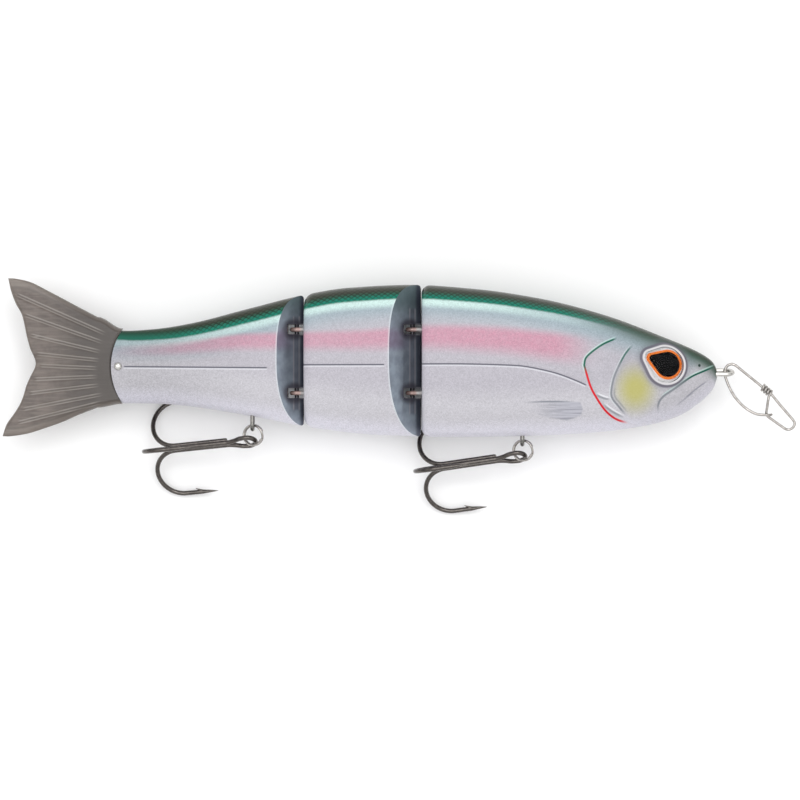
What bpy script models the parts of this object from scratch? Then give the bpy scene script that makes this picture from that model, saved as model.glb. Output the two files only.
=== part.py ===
"""A three-section jointed swimbait, lying on its left flank as it would be set down on a table.

+X runs to the nose, +Y to the back and +Z up, out of the right flank. The origin is on the table
under the middle of the whole lure. Shapes are worked out in millimetres with z counted from the
fish's middle plane, and the empty named middle_plane lifts everything by half the body's width.
"""

import math

import bmesh
import bpy
from mathutils import Matrix, Vector

MM = 0.001

# Body outline in the side view: x, y along the back and the belly; x, half width in the top view.
BACK = [(-79, 17.6), (-73, 17.6), (-65, 18.1), (-56.5, 19.4), (-39.4, 23.7), (-26.6, 26.9), (-13.9, 29.0),
        (3, 29.8), (20, 28.7), (37, 26.2), (54, 21.9), (71.4, 15.4), (77.8, 12.7), (81, 11.0), (83.2, 9.3),
        (84.2, 7.6), (84.5, 6.4)]
BELLY = [(-79, -1.6), (-73, -1.7), (-65, -1.8), (-56.5, -2.5), (-39.4, -5.2), (-22.4, -8.4), (-5.3, -10.2),
         (14, -10.75), (35, -10.4), (52.2, -9.5), (65, -7.8), (71.4, -6.2), (75.7, -4.4), (80, -1.4),
         (82.2, 0.6), (83.7, 2.7), (84.5, 5.2)]
FLANK = [(-79, 2.9), (-73, 3.3), (-65, 4.5), (-55, 6.3), (-40, 9.1), (-26, 10.9), (-10, 12.1), (5, 12.7),
         (25, 13.0), (40, 12.8), (50, 12.1), (60, 10.7), (70, 8.5), (75, 7.1), (80, 5.3), (82.5, 4.0),
         (83.9, 2.4), (84.5, 0.8)]
HALF_WIDTH = 13.0
BACK_FULLNESS = 3.0  # superellipse exponents of the section above and below its widest point
BELLY_FULLNESS = 2.25
WALL = 1.8
SEAM_GAP = 0.1
FLOOR = 8.0  # solid plastic left along the belly, round the weights and the hook hangers

# The two joints between sections. The front piece ends flat; the rear piece ends in a V with a round tip.
FRONT_PIN_X = 3.3
REAR_PIN_X = -27.5
FRONT_TIP_R = 2.3
REAR_TIP_R = 1.9
JOINT_GAP = 0.15
V_ANGLE = math.radians(36)
PIN_R = 0.6
FRONT_PIN_Y = (-4.7, 23.5)
REAR_PIN_Y = (-3.6, 21.4)
LUG_Y = (17.9, 1.0)  # heights of the upper and lower wire eyes at both joints
EYE_WIRE_R = 0.58
EYE_LOOP_R = 1.3
SLOT_HALF = 1.3
SLOT_BACK = 2.3

# Hooks and their hangers
HANGER_WIRE_R = 0.56
HANGER_HALF = 1.6
FRONT_HANGER = (32.6, -12.75)  # where the middle of the wire crosses under the belly: x, y
REAR_HANGER = (-39.3, -8.7)
RING_R = 2.65
RING_WIRE_R = 0.32
RING_LAYER = 0.36  # the two turns of wire lie this far above and below the ring's middle
RING_TILT = math.radians(22)  # the weight of the hook draws the ring's rear edge towards the table
RING_LIFT = 1.1  # the ring's wire clears the hanger's, middle to middle
HOOK_AT = math.radians(218)  # where on the ring the hook's eye hangs
HOOK_PLAY = (3.1, 0.3)  # the ring's wire lies this far inside the eye, along it and across it
HOOK_WIRE_R = 0.62
HOOK_CORE = 0.75  # from the middle of the shank to the middle of each of its three wires
HOOK_EYE_HALF = 2.3
HOOK_EYE_SHOULDER = 8.0
HOOK_BEND_AT = 22.8  # lengths along the shank, from the outer end of the eye
HOOK_BEND_LONG = 6.4
HOOK_REACH = 14.4  # from the middle of the shank to the middle of each arm's point
HOOK_POINT = 8.9
HOOK_DROP = math.radians(10.3)
FRONT_HOOK_SLOPE = math.radians(8.5)
REAR_HOOK_SLOPE = math.radians(6)

# Line tie and snap
TIE_WIRE_R = 0.6
TIE_HALF = 1.7
TIE_Y = 6.5
TIE_END_X = 89.2
TIE_TILT = math.radians(18)
SNAP_WIRE_R = 0.36
SNAP_COIL_R = 0.78

# Tail
TAIL_EDGE_X = -76.75  # hindmost point of the body's end, an arc in the side view
TAIL_EDGE_Y = 8.05
TAIL_EDGE_R = 17.9
TAIL_PIN = (-74.9, 8.1)
TAIL_FLEX_X = -80.6
TAIL_BASE_HALF = 1.9
TAIL_GAP = 0.2
TAIL_TOP = [(-80.6, 21.3), (-85.8, 24.0), (-89.9, 26.2), (-94.1, 28.4), (-98.3, 30.5), (-102.2, 31.45),
            (-104.4, 31.6)]
TAIL_UNDER = [(-80.6, -2.9), (-85.8, -4.9), (-89.9, -6.7), (-94.7, -8.4), (-99.2, -9.8), (-103.6, -10.5),
              (-105.9, -10.5)]
TAIL_REAR = [(-105.9, -10.5), (-104.8, -7.3), (-102.7, -4.3), (-101.1, -1.6), (-100.2, 0.8), (-99.6, 2.9),
             (-98.6, 5.2), (-97.4, 7.6), (-97.1, 9.1), (-97.5, 10.6), (-98.6, 13.0), (-99.6, 16.8),
             (-100.2, 19.8), (-100.9, 22.2), (-102.4, 24.9), (-103.6, 28.1), (-104.4, 31.6)]

# Eyes: a teardrop set square to the flank
EYE_CENTRE = (70.4, 8.5)
EYE_R = 4.7
EYE_TIP = 6.5
EYE_TIP_ANGLE = math.radians(158)
EYE_DEPTH = 1.9

PAINT = ("painted_shell", (0.72, 0.74, 0.76), 0.25, 0.35)
SMOKE = ("smoke_plastic", (0.30, 0.36, 0.42), 0.2, 0.0)
STEEL = ("stainless_wire", (0.75, 0.74, 0.72), 0.25, 1.0)
NICKEL = ("black_nickel", (0.20, 0.19, 0.18), 0.25, 1.0)
WEIGHT = ("ballast_metal", (0.42, 0.42, 0.44), 0.45, 1.0)
SOFT = ("soft_tail", (0.46, 0.41, 0.38), 0.5, 0.0)
FOIL = ("eye_foil", (0.85, 0.42, 0.16), 0.3, 0.6)
LENS = ("eye_lens", (0.05, 0.05, 0.05), 0.05, 0.0)


def clear_scene():
    for obj in list(bpy.data.objects):
        bpy.data.objects.remove(obj, do_unlink=True)


def collection(name):
    made = bpy.data.collections.new(name)
    bpy.context.scene.collection.children.link(made)
    return made


def material(spec):
    """A Principled material from (name, colour, roughness, metallic), made once."""
    name, colour, roughness, metallic = spec
    found = bpy.data.materials.get(name)
    if found:
        return found
    made = bpy.data.materials.new(name)
    made.use_nodes = True
    shader = made.node_tree.nodes["Principled BSDF"]
    shader.inputs["Base Color"].default_value = (*colour, 1)
    shader.inputs["Roughness"].default_value = roughness
    shader.inputs["Metallic"].default_value = metallic
    made.diffuse_color = (*colour, 1)
    return made


def curve_through(points):
    """A smooth function through (x, y) points that never overshoots them (monotone cubic)."""
    xs = [p[0] for p in points]
    ys = [p[1] for p in points]
    steps = [(ys[i + 1] - ys[i]) / (xs[i + 1] - xs[i]) for i in range(len(xs) - 1)]
    slopes = [steps[0]]
    for a, b in zip(steps, steps[1:]):
        slopes.append(0 if a * b <= 0 else 2 * a * b / (a + b))
    slopes.append(steps[-1])

    def value(x):
        x = min(max(x, xs[0]), xs[-1])
        i = max(0, min(len(xs) - 2, sum(k <= x for k in xs) - 1))
        width = xs[i + 1] - xs[i]
        t = (x - xs[i]) / width
        return (ys[i] * (1 + 2 * t) * (1 - t) ** 2 + slopes[i] * width * t * (1 - t) ** 2
                + ys[i + 1] * t * t * (3 - 2 * t) + slopes[i + 1] * width * t * t * (t - 1))

    return value


back_y, belly_y, flank_z = curve_through(BACK), curve_through(BELLY), curve_through(FLANK)


def frame(name, x, y, z=0.0, parent=None):
    """An empty at (x, y) on the fish's middle plane, which the pieces of one body hang on."""
    empty = bpy.data.objects.new(name, None)
    bpy.context.scene.collection.objects.link(empty)
    empty.empty_display_size = 2 * MM
    empty.location = Vector((x, y, z)) * MM
    if parent is not None:
        empty.parent = parent
        empty.location -= offset_of(parent)
    return empty


def offset_of(empty):
    """Where an empty is, counted from the middle_plane empty."""
    total = Vector()
    while empty.parent is not None:
        total += empty.location
        empty = empty.parent
    return total


def add(obj, where, spec=None, group=None):
    """Puts obj in a collection and hangs it on the empty `where`, at the place it is modelled in."""
    (group or LURE).objects.link(obj)
    obj.parent = where
    obj.matrix_parent_inverse = Matrix.Translation(-offset_of(where))
    if spec:
        obj.data.materials.clear()
        obj.data.materials.append(material(spec))
    if group is CUTTERS:
        obj.hide_render = True
        obj.display_type = "WIRE"
    return obj


def from_bmesh(name, bm, smooth=35):
    """A mesh object from a bmesh in millimetres, with its normals outwards."""
    bmesh.ops.recalc_face_normals(bm, faces=bm.faces)
    bmesh.ops.scale(bm, vec=(MM, MM, MM), verts=bm.verts)
    mesh = bpy.data.meshes.new(name)
    bm.to_mesh(mesh)
    bm.free()
    mesh.shade_smooth()
    mesh.set_sharp_from_angle(angle=math.radians(smooth))
    return bpy.data.objects.new(name, mesh)


def skin_rings(bm, rings, capped=True):
    """Joins closed rings of points, one after another, into a tube with flat ends."""
    made = [[bm.verts.new(p) for p in ring] for ring in rings]
    for a, b in zip(made, made[1:]):
        for i in range(len(a)):
            j = (i + 1) % len(a)
            bm.faces.new((a[i], a[j], b[j], b[i]))
    if capped:
        bm.faces.new(made[0])
        bm.faces.new(made[-1])
    return made


def prism(name, outline, low, high, plane="XY"):
    """A flat outline given thickness from low to high: along Z for XY, or along Y for an outline in XZ."""
    curve = bpy.data.curves.new(name, "CURVE")
    curve.dimensions = "2D"
    curve.fill_mode = "BOTH"
    curve.extrude = (high - low) / 2 * MM
    spline = curve.splines.new("POLY")
    spline.use_cyclic_u = True
    spline.points.add(len(outline) - 1)
    for knot, (u, v) in zip(spline.points, outline):
        knot.co = (u * MM, v * MM, 0, 1)
    solid = as_mesh(bpy.data.objects.new(name, curve))
    place = Matrix.Translation((0, 0, (low + high) / 2 * MM))
    if plane == "XZ":
        place = Matrix.Translation((0, (low + high) / 2 * MM, 0)) @ Matrix.Rotation(math.pi / 2, 4, "X")
    solid.data.transform(place)
    return solid


def box(name, low, high):
    middle = [(a + b) / 2 for a, b in zip(low, high)]
    size = [b - a for a, b in zip(low, high)]
    bm = bmesh.new()
    bmesh.ops.create_cube(bm, size=1, matrix=Matrix.LocRotScale(middle, None, size))
    return from_bmesh(name, bm)


def rod(name, start, end, radius, sides=16):
    """A round bar from start to end."""
    a, b = Vector(start), Vector(end)
    bm = bmesh.new()
    turn = (b - a).to_track_quat("Z", "Y").to_matrix().to_4x4()
    bmesh.ops.create_cone(bm, cap_ends=True, segments=sides, radius1=radius, radius2=radius,
                          depth=(b - a).length, matrix=Matrix.Translation((a + b) / 2) @ turn)
    return from_bmesh(name, bm)


def bent(corners, radii, steps=6):
    """Points along a wire bent at each inner corner with that bend radius."""
    points = [Vector(corners[0])]
    for i in range(1, len(corners) - 1):
        before, here, after = (Vector(corners[k]) for k in (i - 1, i, i + 1))
        back, ahead = (before - here).normalized(), (after - here).normalized()
        half = back.angle(ahead) / 2
        radius = radii[i - 1]
        centre = here + (back + ahead).normalized() * radius / math.sin(half)
        first = here + back * radius / math.tan(half)
        last = here + ahead * radius / math.tan(half)
        for k in range(steps + 1):
            spoke = (first - centre).slerp(last - centre, k / steps)
            points.append(centre + spoke)
    points.append(Vector(corners[-1]))
    return points


def flowing(corners, steps=5):
    """Points of a smooth line through the corners (Catmull-Rom)."""
    knots = [Vector(c) for c in corners]
    knots = [2 * knots[0] - knots[1]] + knots + [2 * knots[-1] - knots[-2]]
    points = []
    for a, b, c, d in zip(knots, knots[1:], knots[2:], knots[3:]):
        for k in range(steps):
            t = k / steps
            points.append(0.5 * (2 * b + (c - a) * t + (2 * a - 5 * b + 4 * c - d) * t * t
                                 + (3 * b - a - 3 * c + d) * t ** 3))
    points.append(knots[-2])
    return points


def wire(name, points, radius, resolution=2, taper=()):
    """A round wire along the points. taper holds the thickness factors of its last points."""
    curve = bpy.data.curves.new(name, "CURVE")
    curve.dimensions = "3D"
    curve.bevel_depth = radius * MM
    curve.bevel_resolution = resolution
    curve.use_fill_caps = True
    spline = curve.splines.new("POLY")
    spline.points.add(len(points) - 1)
    for knot, p in zip(spline.points, points):
        knot.co = (*(Vector(p) * MM), 1)
    for factor, knot in zip(reversed(taper), reversed(spline.points)):
        knot.radius = factor
    return bpy.data.objects.new(name, curve)


def as_mesh(obj):
    """The curve object as a mesh object with welded caps, so that it can be cut or used as a cutter."""
    bpy.context.scene.collection.objects.link(obj)
    bpy.context.view_layer.update()
    graph = bpy.context.evaluated_depsgraph_get()
    mesh = bpy.data.meshes.new_from_object(obj.evaluated_get(graph))
    bm = bmesh.new()
    bm.from_mesh(mesh)
    bmesh.ops.remove_doubles(bm, verts=bm.verts, dist=1e-6)
    bmesh.ops.recalc_face_normals(bm, faces=bm.faces)
    bm.to_mesh(mesh)
    bm.free()
    name = obj.name
    bpy.data.objects.remove(obj, do_unlink=True)
    return bpy.data.objects.new(name, mesh)


def cut(target, cutter, operation="DIFFERENCE"):
    modifier = target.modifiers.new(cutter.name, "BOOLEAN")
    modifier.operation = operation
    modifier.object = cutter
    return target


def section_ring(x, side, steps, shrink=0.0, wall=0.0, floor=0.0, seam=SEAM_GAP / 2):
    """The half section of the body at x, from its back round the flank to its belly, on one side.
    shrink draws it in, as at a rounded end; wall and floor thin it for the hollow inside."""
    top = back_y(x) - shrink - wall
    low = belly_y(x) + shrink + max(wall, floor)
    width = flank_z(x) - 0.5 * shrink - wall
    middle, half = (top + low) / 2, (top - low) / 2
    ring = []
    for k in range(steps + 1):
        turn = math.pi * k / steps
        power = 2 / (BACK_FULLNESS if turn < math.pi / 2 else BELLY_FULLNESS)
        up = math.copysign(abs(math.cos(turn)) ** power, math.cos(turn))
        out = abs(math.sin(turn)) ** power
        ring.append((x, middle + half * up, side * (seam if k in (0, steps) else max(width * out, seam))))
    return ring


def rounded_stations(start, end, start_r, end_r, inner):
    """(x, shrink) along a section of the body whose two ends are rounded with those radii."""
    turns = [math.radians(a) for a in (0, 30, 60, 90)]
    first = [(start + start_r * (1 - math.cos(a)), start_r * (1 - math.sin(a))) for a in turns]
    last = [(end - end_r * (1 - math.cos(a)), end_r * (1 - math.sin(a))) for a in reversed(turns)]
    low, high = start + start_r, end - end_r
    between = [(low + (high - low) * k / inner, 0.0) for k in range(1, inner)]
    return first + between + last


def half_body(name, side, stations, steps=12):
    bm = bmesh.new()
    skin_rings(bm, [section_ring(x, side, steps, shrink) for x, shrink in stations])
    return from_bmesh(name, bm, smooth=30)


def hollow(name, side, start, end, count, steps=8):
    """The empty space inside one half, reaching a little past the seam so that the halves meet open."""
    bm = bmesh.new()
    xs = [start + (end - start) * k / count for k in range(count + 1)]
    skin_rings(bm, [section_ring(x, side, steps, wall=WALL, floor=FLOOR, seam=-1.0) for x in xs])
    return from_bmesh(name, bm)


def v_end(name, pin_x, tip_r):
    """The room that a V-shaped front end keeps to, seen from above: a round tip and two bevels."""
    reach = 24.0
    arc = [V_ANGLE * k / 4 for k in range(-4, 5)]
    outline = [(pin_x + tip_r * math.cos(a), tip_r * math.sin(a)) for a in arc]
    for sign in (1, -1):
        x = pin_x + tip_r * math.cos(V_ANGLE) - reach * math.sin(V_ANGLE)
        z = sign * (tip_r * math.sin(V_ANGLE) + reach * math.cos(V_ANGLE))
        outline += [(x, z), (pin_x - 80, z)] if sign > 0 else [(pin_x - 80, z), (x, z)]
    return prism(name, outline, -30, 45, plane="XZ")


def tail_end_arc(grow=0.0, steps=10):
    """The body's hind edge in the side view, from below to above."""
    radius = TAIL_EDGE_R + grow
    centre_x = TAIL_EDGE_X + TAIL_EDGE_R
    spread = math.radians(36)
    turns = [-spread + 2 * spread * k / steps for k in range(steps + 1)]
    return [(centre_x - radius * math.cos(a), TAIL_EDGE_Y + radius * math.sin(a)) for a in turns]


def lug_path(pin_x, y, depth):
    """A wire eye round a hinge pin, with two legs that run forwards into the section ahead and turn out."""
    turns = [math.radians(a) for a in range(75, 286, 15)]
    loop = [(pin_x + EYE_LOOP_R * math.cos(a), y, EYE_LOOP_R * math.sin(a)) for a in turns]
    end = pin_x + depth
    half = EYE_LOOP_R
    first = bent([(end, y, half + 1.6), (end, y, half), (pin_x + 1.2, y, half)], [0.8], 3)
    last = bent([(pin_x + 1.2, y, -half), (end, y, -half), (end, y, -half - 1.6)], [0.8], 3)
    return first + [Vector(p) for p in loop] + last


def hanger_path(x, bow_y, height):
    """A U of wire across the belly, its legs turned out inside the body."""
    half = HANGER_HALF
    turns = [math.radians(180 + 180 * k / 10) for k in range(11)]
    bow_centre = bow_y + half
    bow = [Vector((x, bow_centre + half * math.sin(a), half * math.cos(a))) for a in turns]
    top = bow_y + height
    first = bent([(x, top, -half - 1.8), (x, top, -half), (x, bow_centre + 0.5, -half)], [0.9], 3)
    last = bent([(x, bow_centre + 0.5, half), (x, top, half), (x, top, half + 1.8)], [0.9], 3)
    return first + bow + last


def tie_path():
    """The line tie: a U of wire out of the nose, rolled a little about the lure's axis."""
    half = TIE_HALF
    bow_x = TIE_END_X - TIE_WIRE_R - half
    turns = [math.radians(90 - 180 * k / 10) for k in range(11)]
    bow = [Vector((bow_x + half * math.cos(a), 0, half * math.sin(a))) for a in turns]
    first = bent([(71, 0, half + 1.4), (71, 0, half), (bow_x - 0.5, 0, half)], [0.8], 3)
    last = bent([(bow_x - 0.5, 0, -half), (71, 0, -half), (71, 0, -half - 1.4)], [0.8], 3)
    roll = Matrix.Rotation(TIE_TILT, 3, "X")
    return [roll @ p + Vector((0, TIE_Y, 0)) for p in first + bow + last]


def make_wire_with_channel(name, points, radius, where, spec, hosts):
    """A wire form and, in the plastic that holds it, the channel it lies in."""
    channel = as_mesh(wire(name + "_channel", points, radius + 0.12))
    add(channel, where, group=CUTTERS)
    for host in hosts:
        cut(host, channel)
    return add(wire(name, points, radius), where, spec)


def make_head(where):
    stations = rounded_stations(FRONT_PIN_X + FRONT_TIP_R + JOINT_GAP, 78, 2.3, 0.0001, 13)[:-4]
    stations += [(x, 0.0) for x in (78, 80, 81.5, 82.7, 83.6, 84.2, 84.5)]
    halves = {}
    for label, side in (("right", 1), ("left", -1)):
        shell = half_body(f"head_shell_{label}", side, stations)
        cut(shell, add(hollow(f"head_hollow_{label}", side, 16, 60, 8), where, group=CUTTERS))
        halves[label] = add(shell, where, PAINT)
    return halves


def make_mid(where):
    stations = rounded_stations(REAR_PIN_X + REAR_TIP_R + JOINT_GAP, FRONT_PIN_X + FRONT_TIP_R, 2.4, 1.0, 5)
    keep = add(v_end("mid_v", FRONT_PIN_X, FRONT_TIP_R), where, group=CUTTERS)
    halves = {}
    for label, side in (("right", 1), ("left", -1)):
        shell = half_body(f"mid_shell_{label}", side, stations)
        cut(shell, keep, "INTERSECT")
        cut(shell, add(hollow(f"mid_hollow_{label}", side, -16.6, -5.5, 2), where, group=CUTTERS))
        halves[label] = add(shell, where, PAINT)
    return halves


def make_rear(where):
    stations = [(-79, 0.0)] + rounded_stations(-77, REAR_PIN_X + REAR_TIP_R, 0.0001, 1.0, 8)[4:]
    keep = add(v_end("rear_v", REAR_PIN_X, REAR_TIP_R), where, group=CUTTERS)
    arc = tail_end_arc()
    behind = add(prism("rear_end_cut", arc + [(-90, 25), (-90, -10)], -10, 10), where, group=CUTTERS)
    socket = add(box("tail_socket", (-90, 1.9, -1.7), (-69.4, 14.3, 1.7)), where, group=CUTTERS)
    halves = {}
    for label, side in (("right", 1), ("left", -1)):
        shell = half_body(f"rear_shell_{label}", side, stations)
        cut(shell, keep, "INTERSECT")
        cut(shell, behind)
        cut(shell, add(hollow(f"rear_hollow_{label}", side, -63, -36.5, 5), where, group=CUTTERS))
        cut(shell, socket)
        halves[label] = add(shell, where, PAINT)
    return halves


def make_joint(label, pin_x, pin_y, ahead, ahead_halves, behind, behind_halves):
    """The hinge pin in the V of the section behind, and the two wire eyes of the section ahead round it."""
    pin = rod(f"{label}_hinge_pin", (pin_x, pin_y[0], 0), (pin_x, pin_y[1], 0), PIN_R, 12)
    bore = rod(f"{label}_pin_bore", (pin_x, pin_y[0] - 0.2, 0), (pin_x, pin_y[1] + 0.2, 0), PIN_R + 0.06, 12)
    add(bore, behind, group=CUTTERS)
    for half in behind_halves:
        cut(half, bore)
    add(pin, behind, STEEL)
    for name, y in zip(("upper", "lower"), LUG_Y):
        low, high = (pin_x - SLOT_BACK, y - SLOT_HALF, -16), (pin_x + 5, y + SLOT_HALF, 16)
        slot = box(f"{label}_{name}_slot", low, high)
        add(slot, behind, group=CUTTERS)
        for half in behind_halves:
            cut(half, slot)
        make_wire_with_channel(f"{label}_joint_eye_{name}", lug_path(pin_x, y, 9.2), EYE_WIRE_R, ahead, STEEL,
                               ahead_halves)


def make_hanger(label, place, where, halves):
    path = hanger_path(*place, 8.2)
    make_wire_with_channel(f"{label}_hook_hanger", path, HANGER_WIRE_R, where, STEEL, halves)


def make_ballast(name, x0, x1, y, radius, where, halves):
    pocket = rod(name + "_pocket", (x0 - 0.2, y, 0), (x1 + 0.2, y, 0), radius + 0.15)
    add(pocket, where, group=CUTTERS)
    for half in halves:
        cut(half, pocket)
    add(rod(name, (x0, y, 0), (x1, y, 0), radius), where, WEIGHT)


def make_dowels(section, places, where, right, left):
    """Posts that line the two halves up: one with a peg on the left half, one with a hole on the right."""
    for k, (x, y) in enumerate(places):
        reach = flank_z(x) - 0.8
        for label, half, side in (("right", right, 1), ("left", left, -1)):
            ends = (x, y, side * SEAM_GAP / 2), (x, y, side * reach)
            post = rod(f"{section}_post_{label}_{k}", *ends, 1.7, 10)
            cut(half, add(post, where, group=CUTTERS), "UNION")
        peg = rod(f"{section}_peg_{k}", (x, y, -2.0), (x, y, 2.4), 0.8, 10)
        hole = rod(f"{section}_peg_hole_{k}", (x, y, -1.0), (x, y, 2.8), 0.9, 10)
        cut(right, add(hole, where, group=CUTTERS))
        cut(left, add(peg, where, group=CUTTERS), "UNION")


def flank_point(x, y, side):
    """The point of the body's surface at (x, y) and the outward direction there."""
    def height(px, py):
        top, low = back_y(px), belly_y(px)
        middle, half = (top + low) / 2, (top - low) / 2
        t = min(abs(py - middle) / half, 0.98)
        power = BACK_FULLNESS if py > middle else BELLY_FULLNESS
        return flank_z(px) * (1 - t ** power) ** (1 / power)

    step = 0.6
    slope_x = (height(x + step, y) - height(x - step, y)) / (2 * step)
    slope_y = (height(x, y + step) - height(x, y - step)) / (2 * step)
    outward = Vector((-slope_x, -slope_y, 1)).normalized()
    point = Vector((x, y, height(x, y)))
    flip = Vector((1, 1, side))
    return point * flip, outward * flip


def teardrop(radius, tip, steps=20):
    """A circle drawn out to a point in the direction of the back, as (u, v) pairs."""
    half = math.acos(radius / tip)
    ring = [(tip * math.cos(EYE_TIP_ANGLE), tip * math.sin(EYE_TIP_ANGLE))]
    for k in range(steps + 1):
        a = EYE_TIP_ANGLE + half + (2 * math.pi - 2 * half) * k / steps
        ring.append((radius * math.cos(a), radius * math.sin(a)))
    return ring


def eye_solid(name, side, layers):
    """A stack of teardrops (size factor, height over the flank), as one solid square to the flank."""
    point, outward = flank_point(*EYE_CENTRE, side)
    across = (Vector((1, 0, 0)) - outward * outward.x).normalized()
    up = outward.cross(across) * side
    bm = bmesh.new()
    rings = []
    for size, height, grow in layers:
        drop = teardrop(EYE_R * size + grow, EYE_TIP * size + 1.3 * grow)
        rings.append([point + across * u + up * v + outward * height for u, v in drop])
    skin_rings(bm, rings)
    return from_bmesh(name, bm)


def make_eyes(where, halves):
    for label, side in (("right", 1), ("left", -1)):
        socket = eye_solid(f"eye_socket_{label}", side, [(1, -EYE_DEPTH, 0.12), (1, 4.0, 0.12)])
        cut(halves[label], add(socket, where, group=CUTTERS))
        foil_top = -EYE_DEPTH + 0.45
        foil = eye_solid(f"eye_foil_{label}", side, [(1, -EYE_DEPTH + 0.05, 0), (1, foil_top, 0)])
        add(foil, where, FOIL)
        base = foil_top + 0.05
        dome = [(1, base, 0), (1, base + 0.5, 0), (0.93, base + 0.95, 0), (0.75, base + 1.35, 0),
                (0.5, base + 1.6, 0), (0.22, base + 1.7, 0)]
        add(eye_solid(f"eye_lens_{label}", side, dome), where, LENS)


def ring_point(centre, turn, layer):
    """A point of a split ring's wire, in the tilted plane of the ring."""
    flat = Vector((RING_R * math.cos(turn), RING_R * math.sin(turn), layer))
    return centre + Matrix.Rotation(-RING_TILT, 3, "Y") @ flat


def ring_centre(hanger):
    x, y = hanger
    return Vector((x + 0.2, y + RING_LIFT - RING_R, 0.08))


def make_ring(label, hanger, where):
    """Two flat turns of wire, with the step from one to the other within 44 degrees at the front."""
    centre = ring_centre(hanger)
    points = [ring_point(centre, math.radians(22 + 11 * k), -RING_LAYER) for k in range(29)]
    for k in range(1, 5):
        rise = RING_LAYER * math.sin(math.radians(45 * (k - 2.5) * 0.8))
        points.append(ring_point(centre, math.radians(330 + 12.4 * k), rise))
    points += [ring_point(centre, math.radians(392 + 11 * k), RING_LAYER) for k in range(29)]
    add(wire(f"{label}_split_ring", points, RING_WIRE_R, resolution=1), where, NICKEL)


def hook_axes(slope):
    """The direction of the shank, away from the eye, and those of the three arms."""
    down = -Vector((math.cos(HOOK_DROP) * math.cos(slope), math.cos(HOOK_DROP) * math.sin(slope),
                    math.sin(HOOK_DROP)))
    up = Vector((0, 0, 1))
    third = (up - down * up.dot(down)).normalized()
    side = third.cross(down)
    side = side if side.y > 0 else -side
    upper = -0.5 * third + math.sqrt(0.75) * side
    lower = -0.5 * third - math.sqrt(0.75) * side
    return down, upper, lower, third


def hook_arm(base, down, arm):
    """Points from the lower end of the shank round the bend to the point of one arm."""
    wide = (HOOK_REACH - HOOK_CORE) / 2
    points = []
    for k in range(13):
        a = math.radians(-90 + 15 * k)
        along = HOOK_BEND_AT + HOOK_BEND_LONG * math.cos(a)
        points.append(base + down * along + arm * (HOOK_CORE + wide * (1 + math.sin(a))))
    for along, out in ((3.5, 0.0), (6.0, 0.03), (7.6, 0.1), (HOOK_POINT, 0.2)):
        points.append(base + down * (HOOK_BEND_AT - along) + arm * (HOOK_REACH + out))
    return points


POINT_TAPER = (1.0, 0.95, 0.55, 0.08)


def make_treble(label, crossing, slope, where):
    """A double hook, whose wire makes the eye, and a third hook laid in the groove of its shanks."""
    down, upper, lower, third = hook_axes(slope)
    wide = (third - lower).normalized()
    eye = crossing - down * HOOK_PLAY[0] - wide * HOOK_PLAY[1]
    base = eye + upper * (HOOK_CORE / 2)
    near = HOOK_CORE * math.sqrt(0.75)
    shoulder = [eye + down * s + wide * w for s, w in
                ((HOOK_EYE_SHOULDER + 1.2, near), (HOOK_EYE_SHOULDER, near + 0.03), (6.2, 1.2), (4.6, 2.02),
                 (HOOK_EYE_HALF + HOOK_WIRE_R, HOOK_EYE_HALF))]
    middle = eye + down * (HOOK_EYE_HALF + HOOK_WIRE_R)
    turns = [math.pi * k / 8 for k in range(1, 8)]
    end = [middle + HOOK_EYE_HALF * (wide * math.cos(a) - down * math.sin(a)) for a in turns]
    mirrored = [p - 2 * wide * (p - eye).dot(wide) for p in shoulder]
    one = flowing(shoulder, 3) + end + flowing(list(reversed(mirrored)), 3)
    first_arm, last_arm = hook_arm(base, down, third), hook_arm(base, down, lower)
    points = list(reversed(first_arm)) + one + last_arm
    double = wire(f"{label}_treble_double", points, HOOK_WIRE_R, taper=POINT_TAPER)
    for factor, knot in zip(reversed(POINT_TAPER), double.data.splines[0].points):
        knot.radius = factor
    add(double, where, NICKEL)
    start = base + down * (HOOK_EYE_SHOULDER + 0.4) + upper * HOOK_CORE
    points = [start] + hook_arm(base, down, upper)
    add(wire(f"{label}_treble_single", points, HOOK_WIRE_R, taper=POINT_TAPER), where, NICKEL)


def make_hooks(label, hanger, slope, body):
    swing = frame(f"{label}_ring_frame", *hanger, parent=body)
    make_ring(label, hanger, swing)
    crossing = ring_point(ring_centre(hanger), HOOK_AT, 0.0)
    hang = frame(f"{label}_treble_frame", *crossing, parent=swing)
    make_treble(label, crossing, slope, hang)


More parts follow.
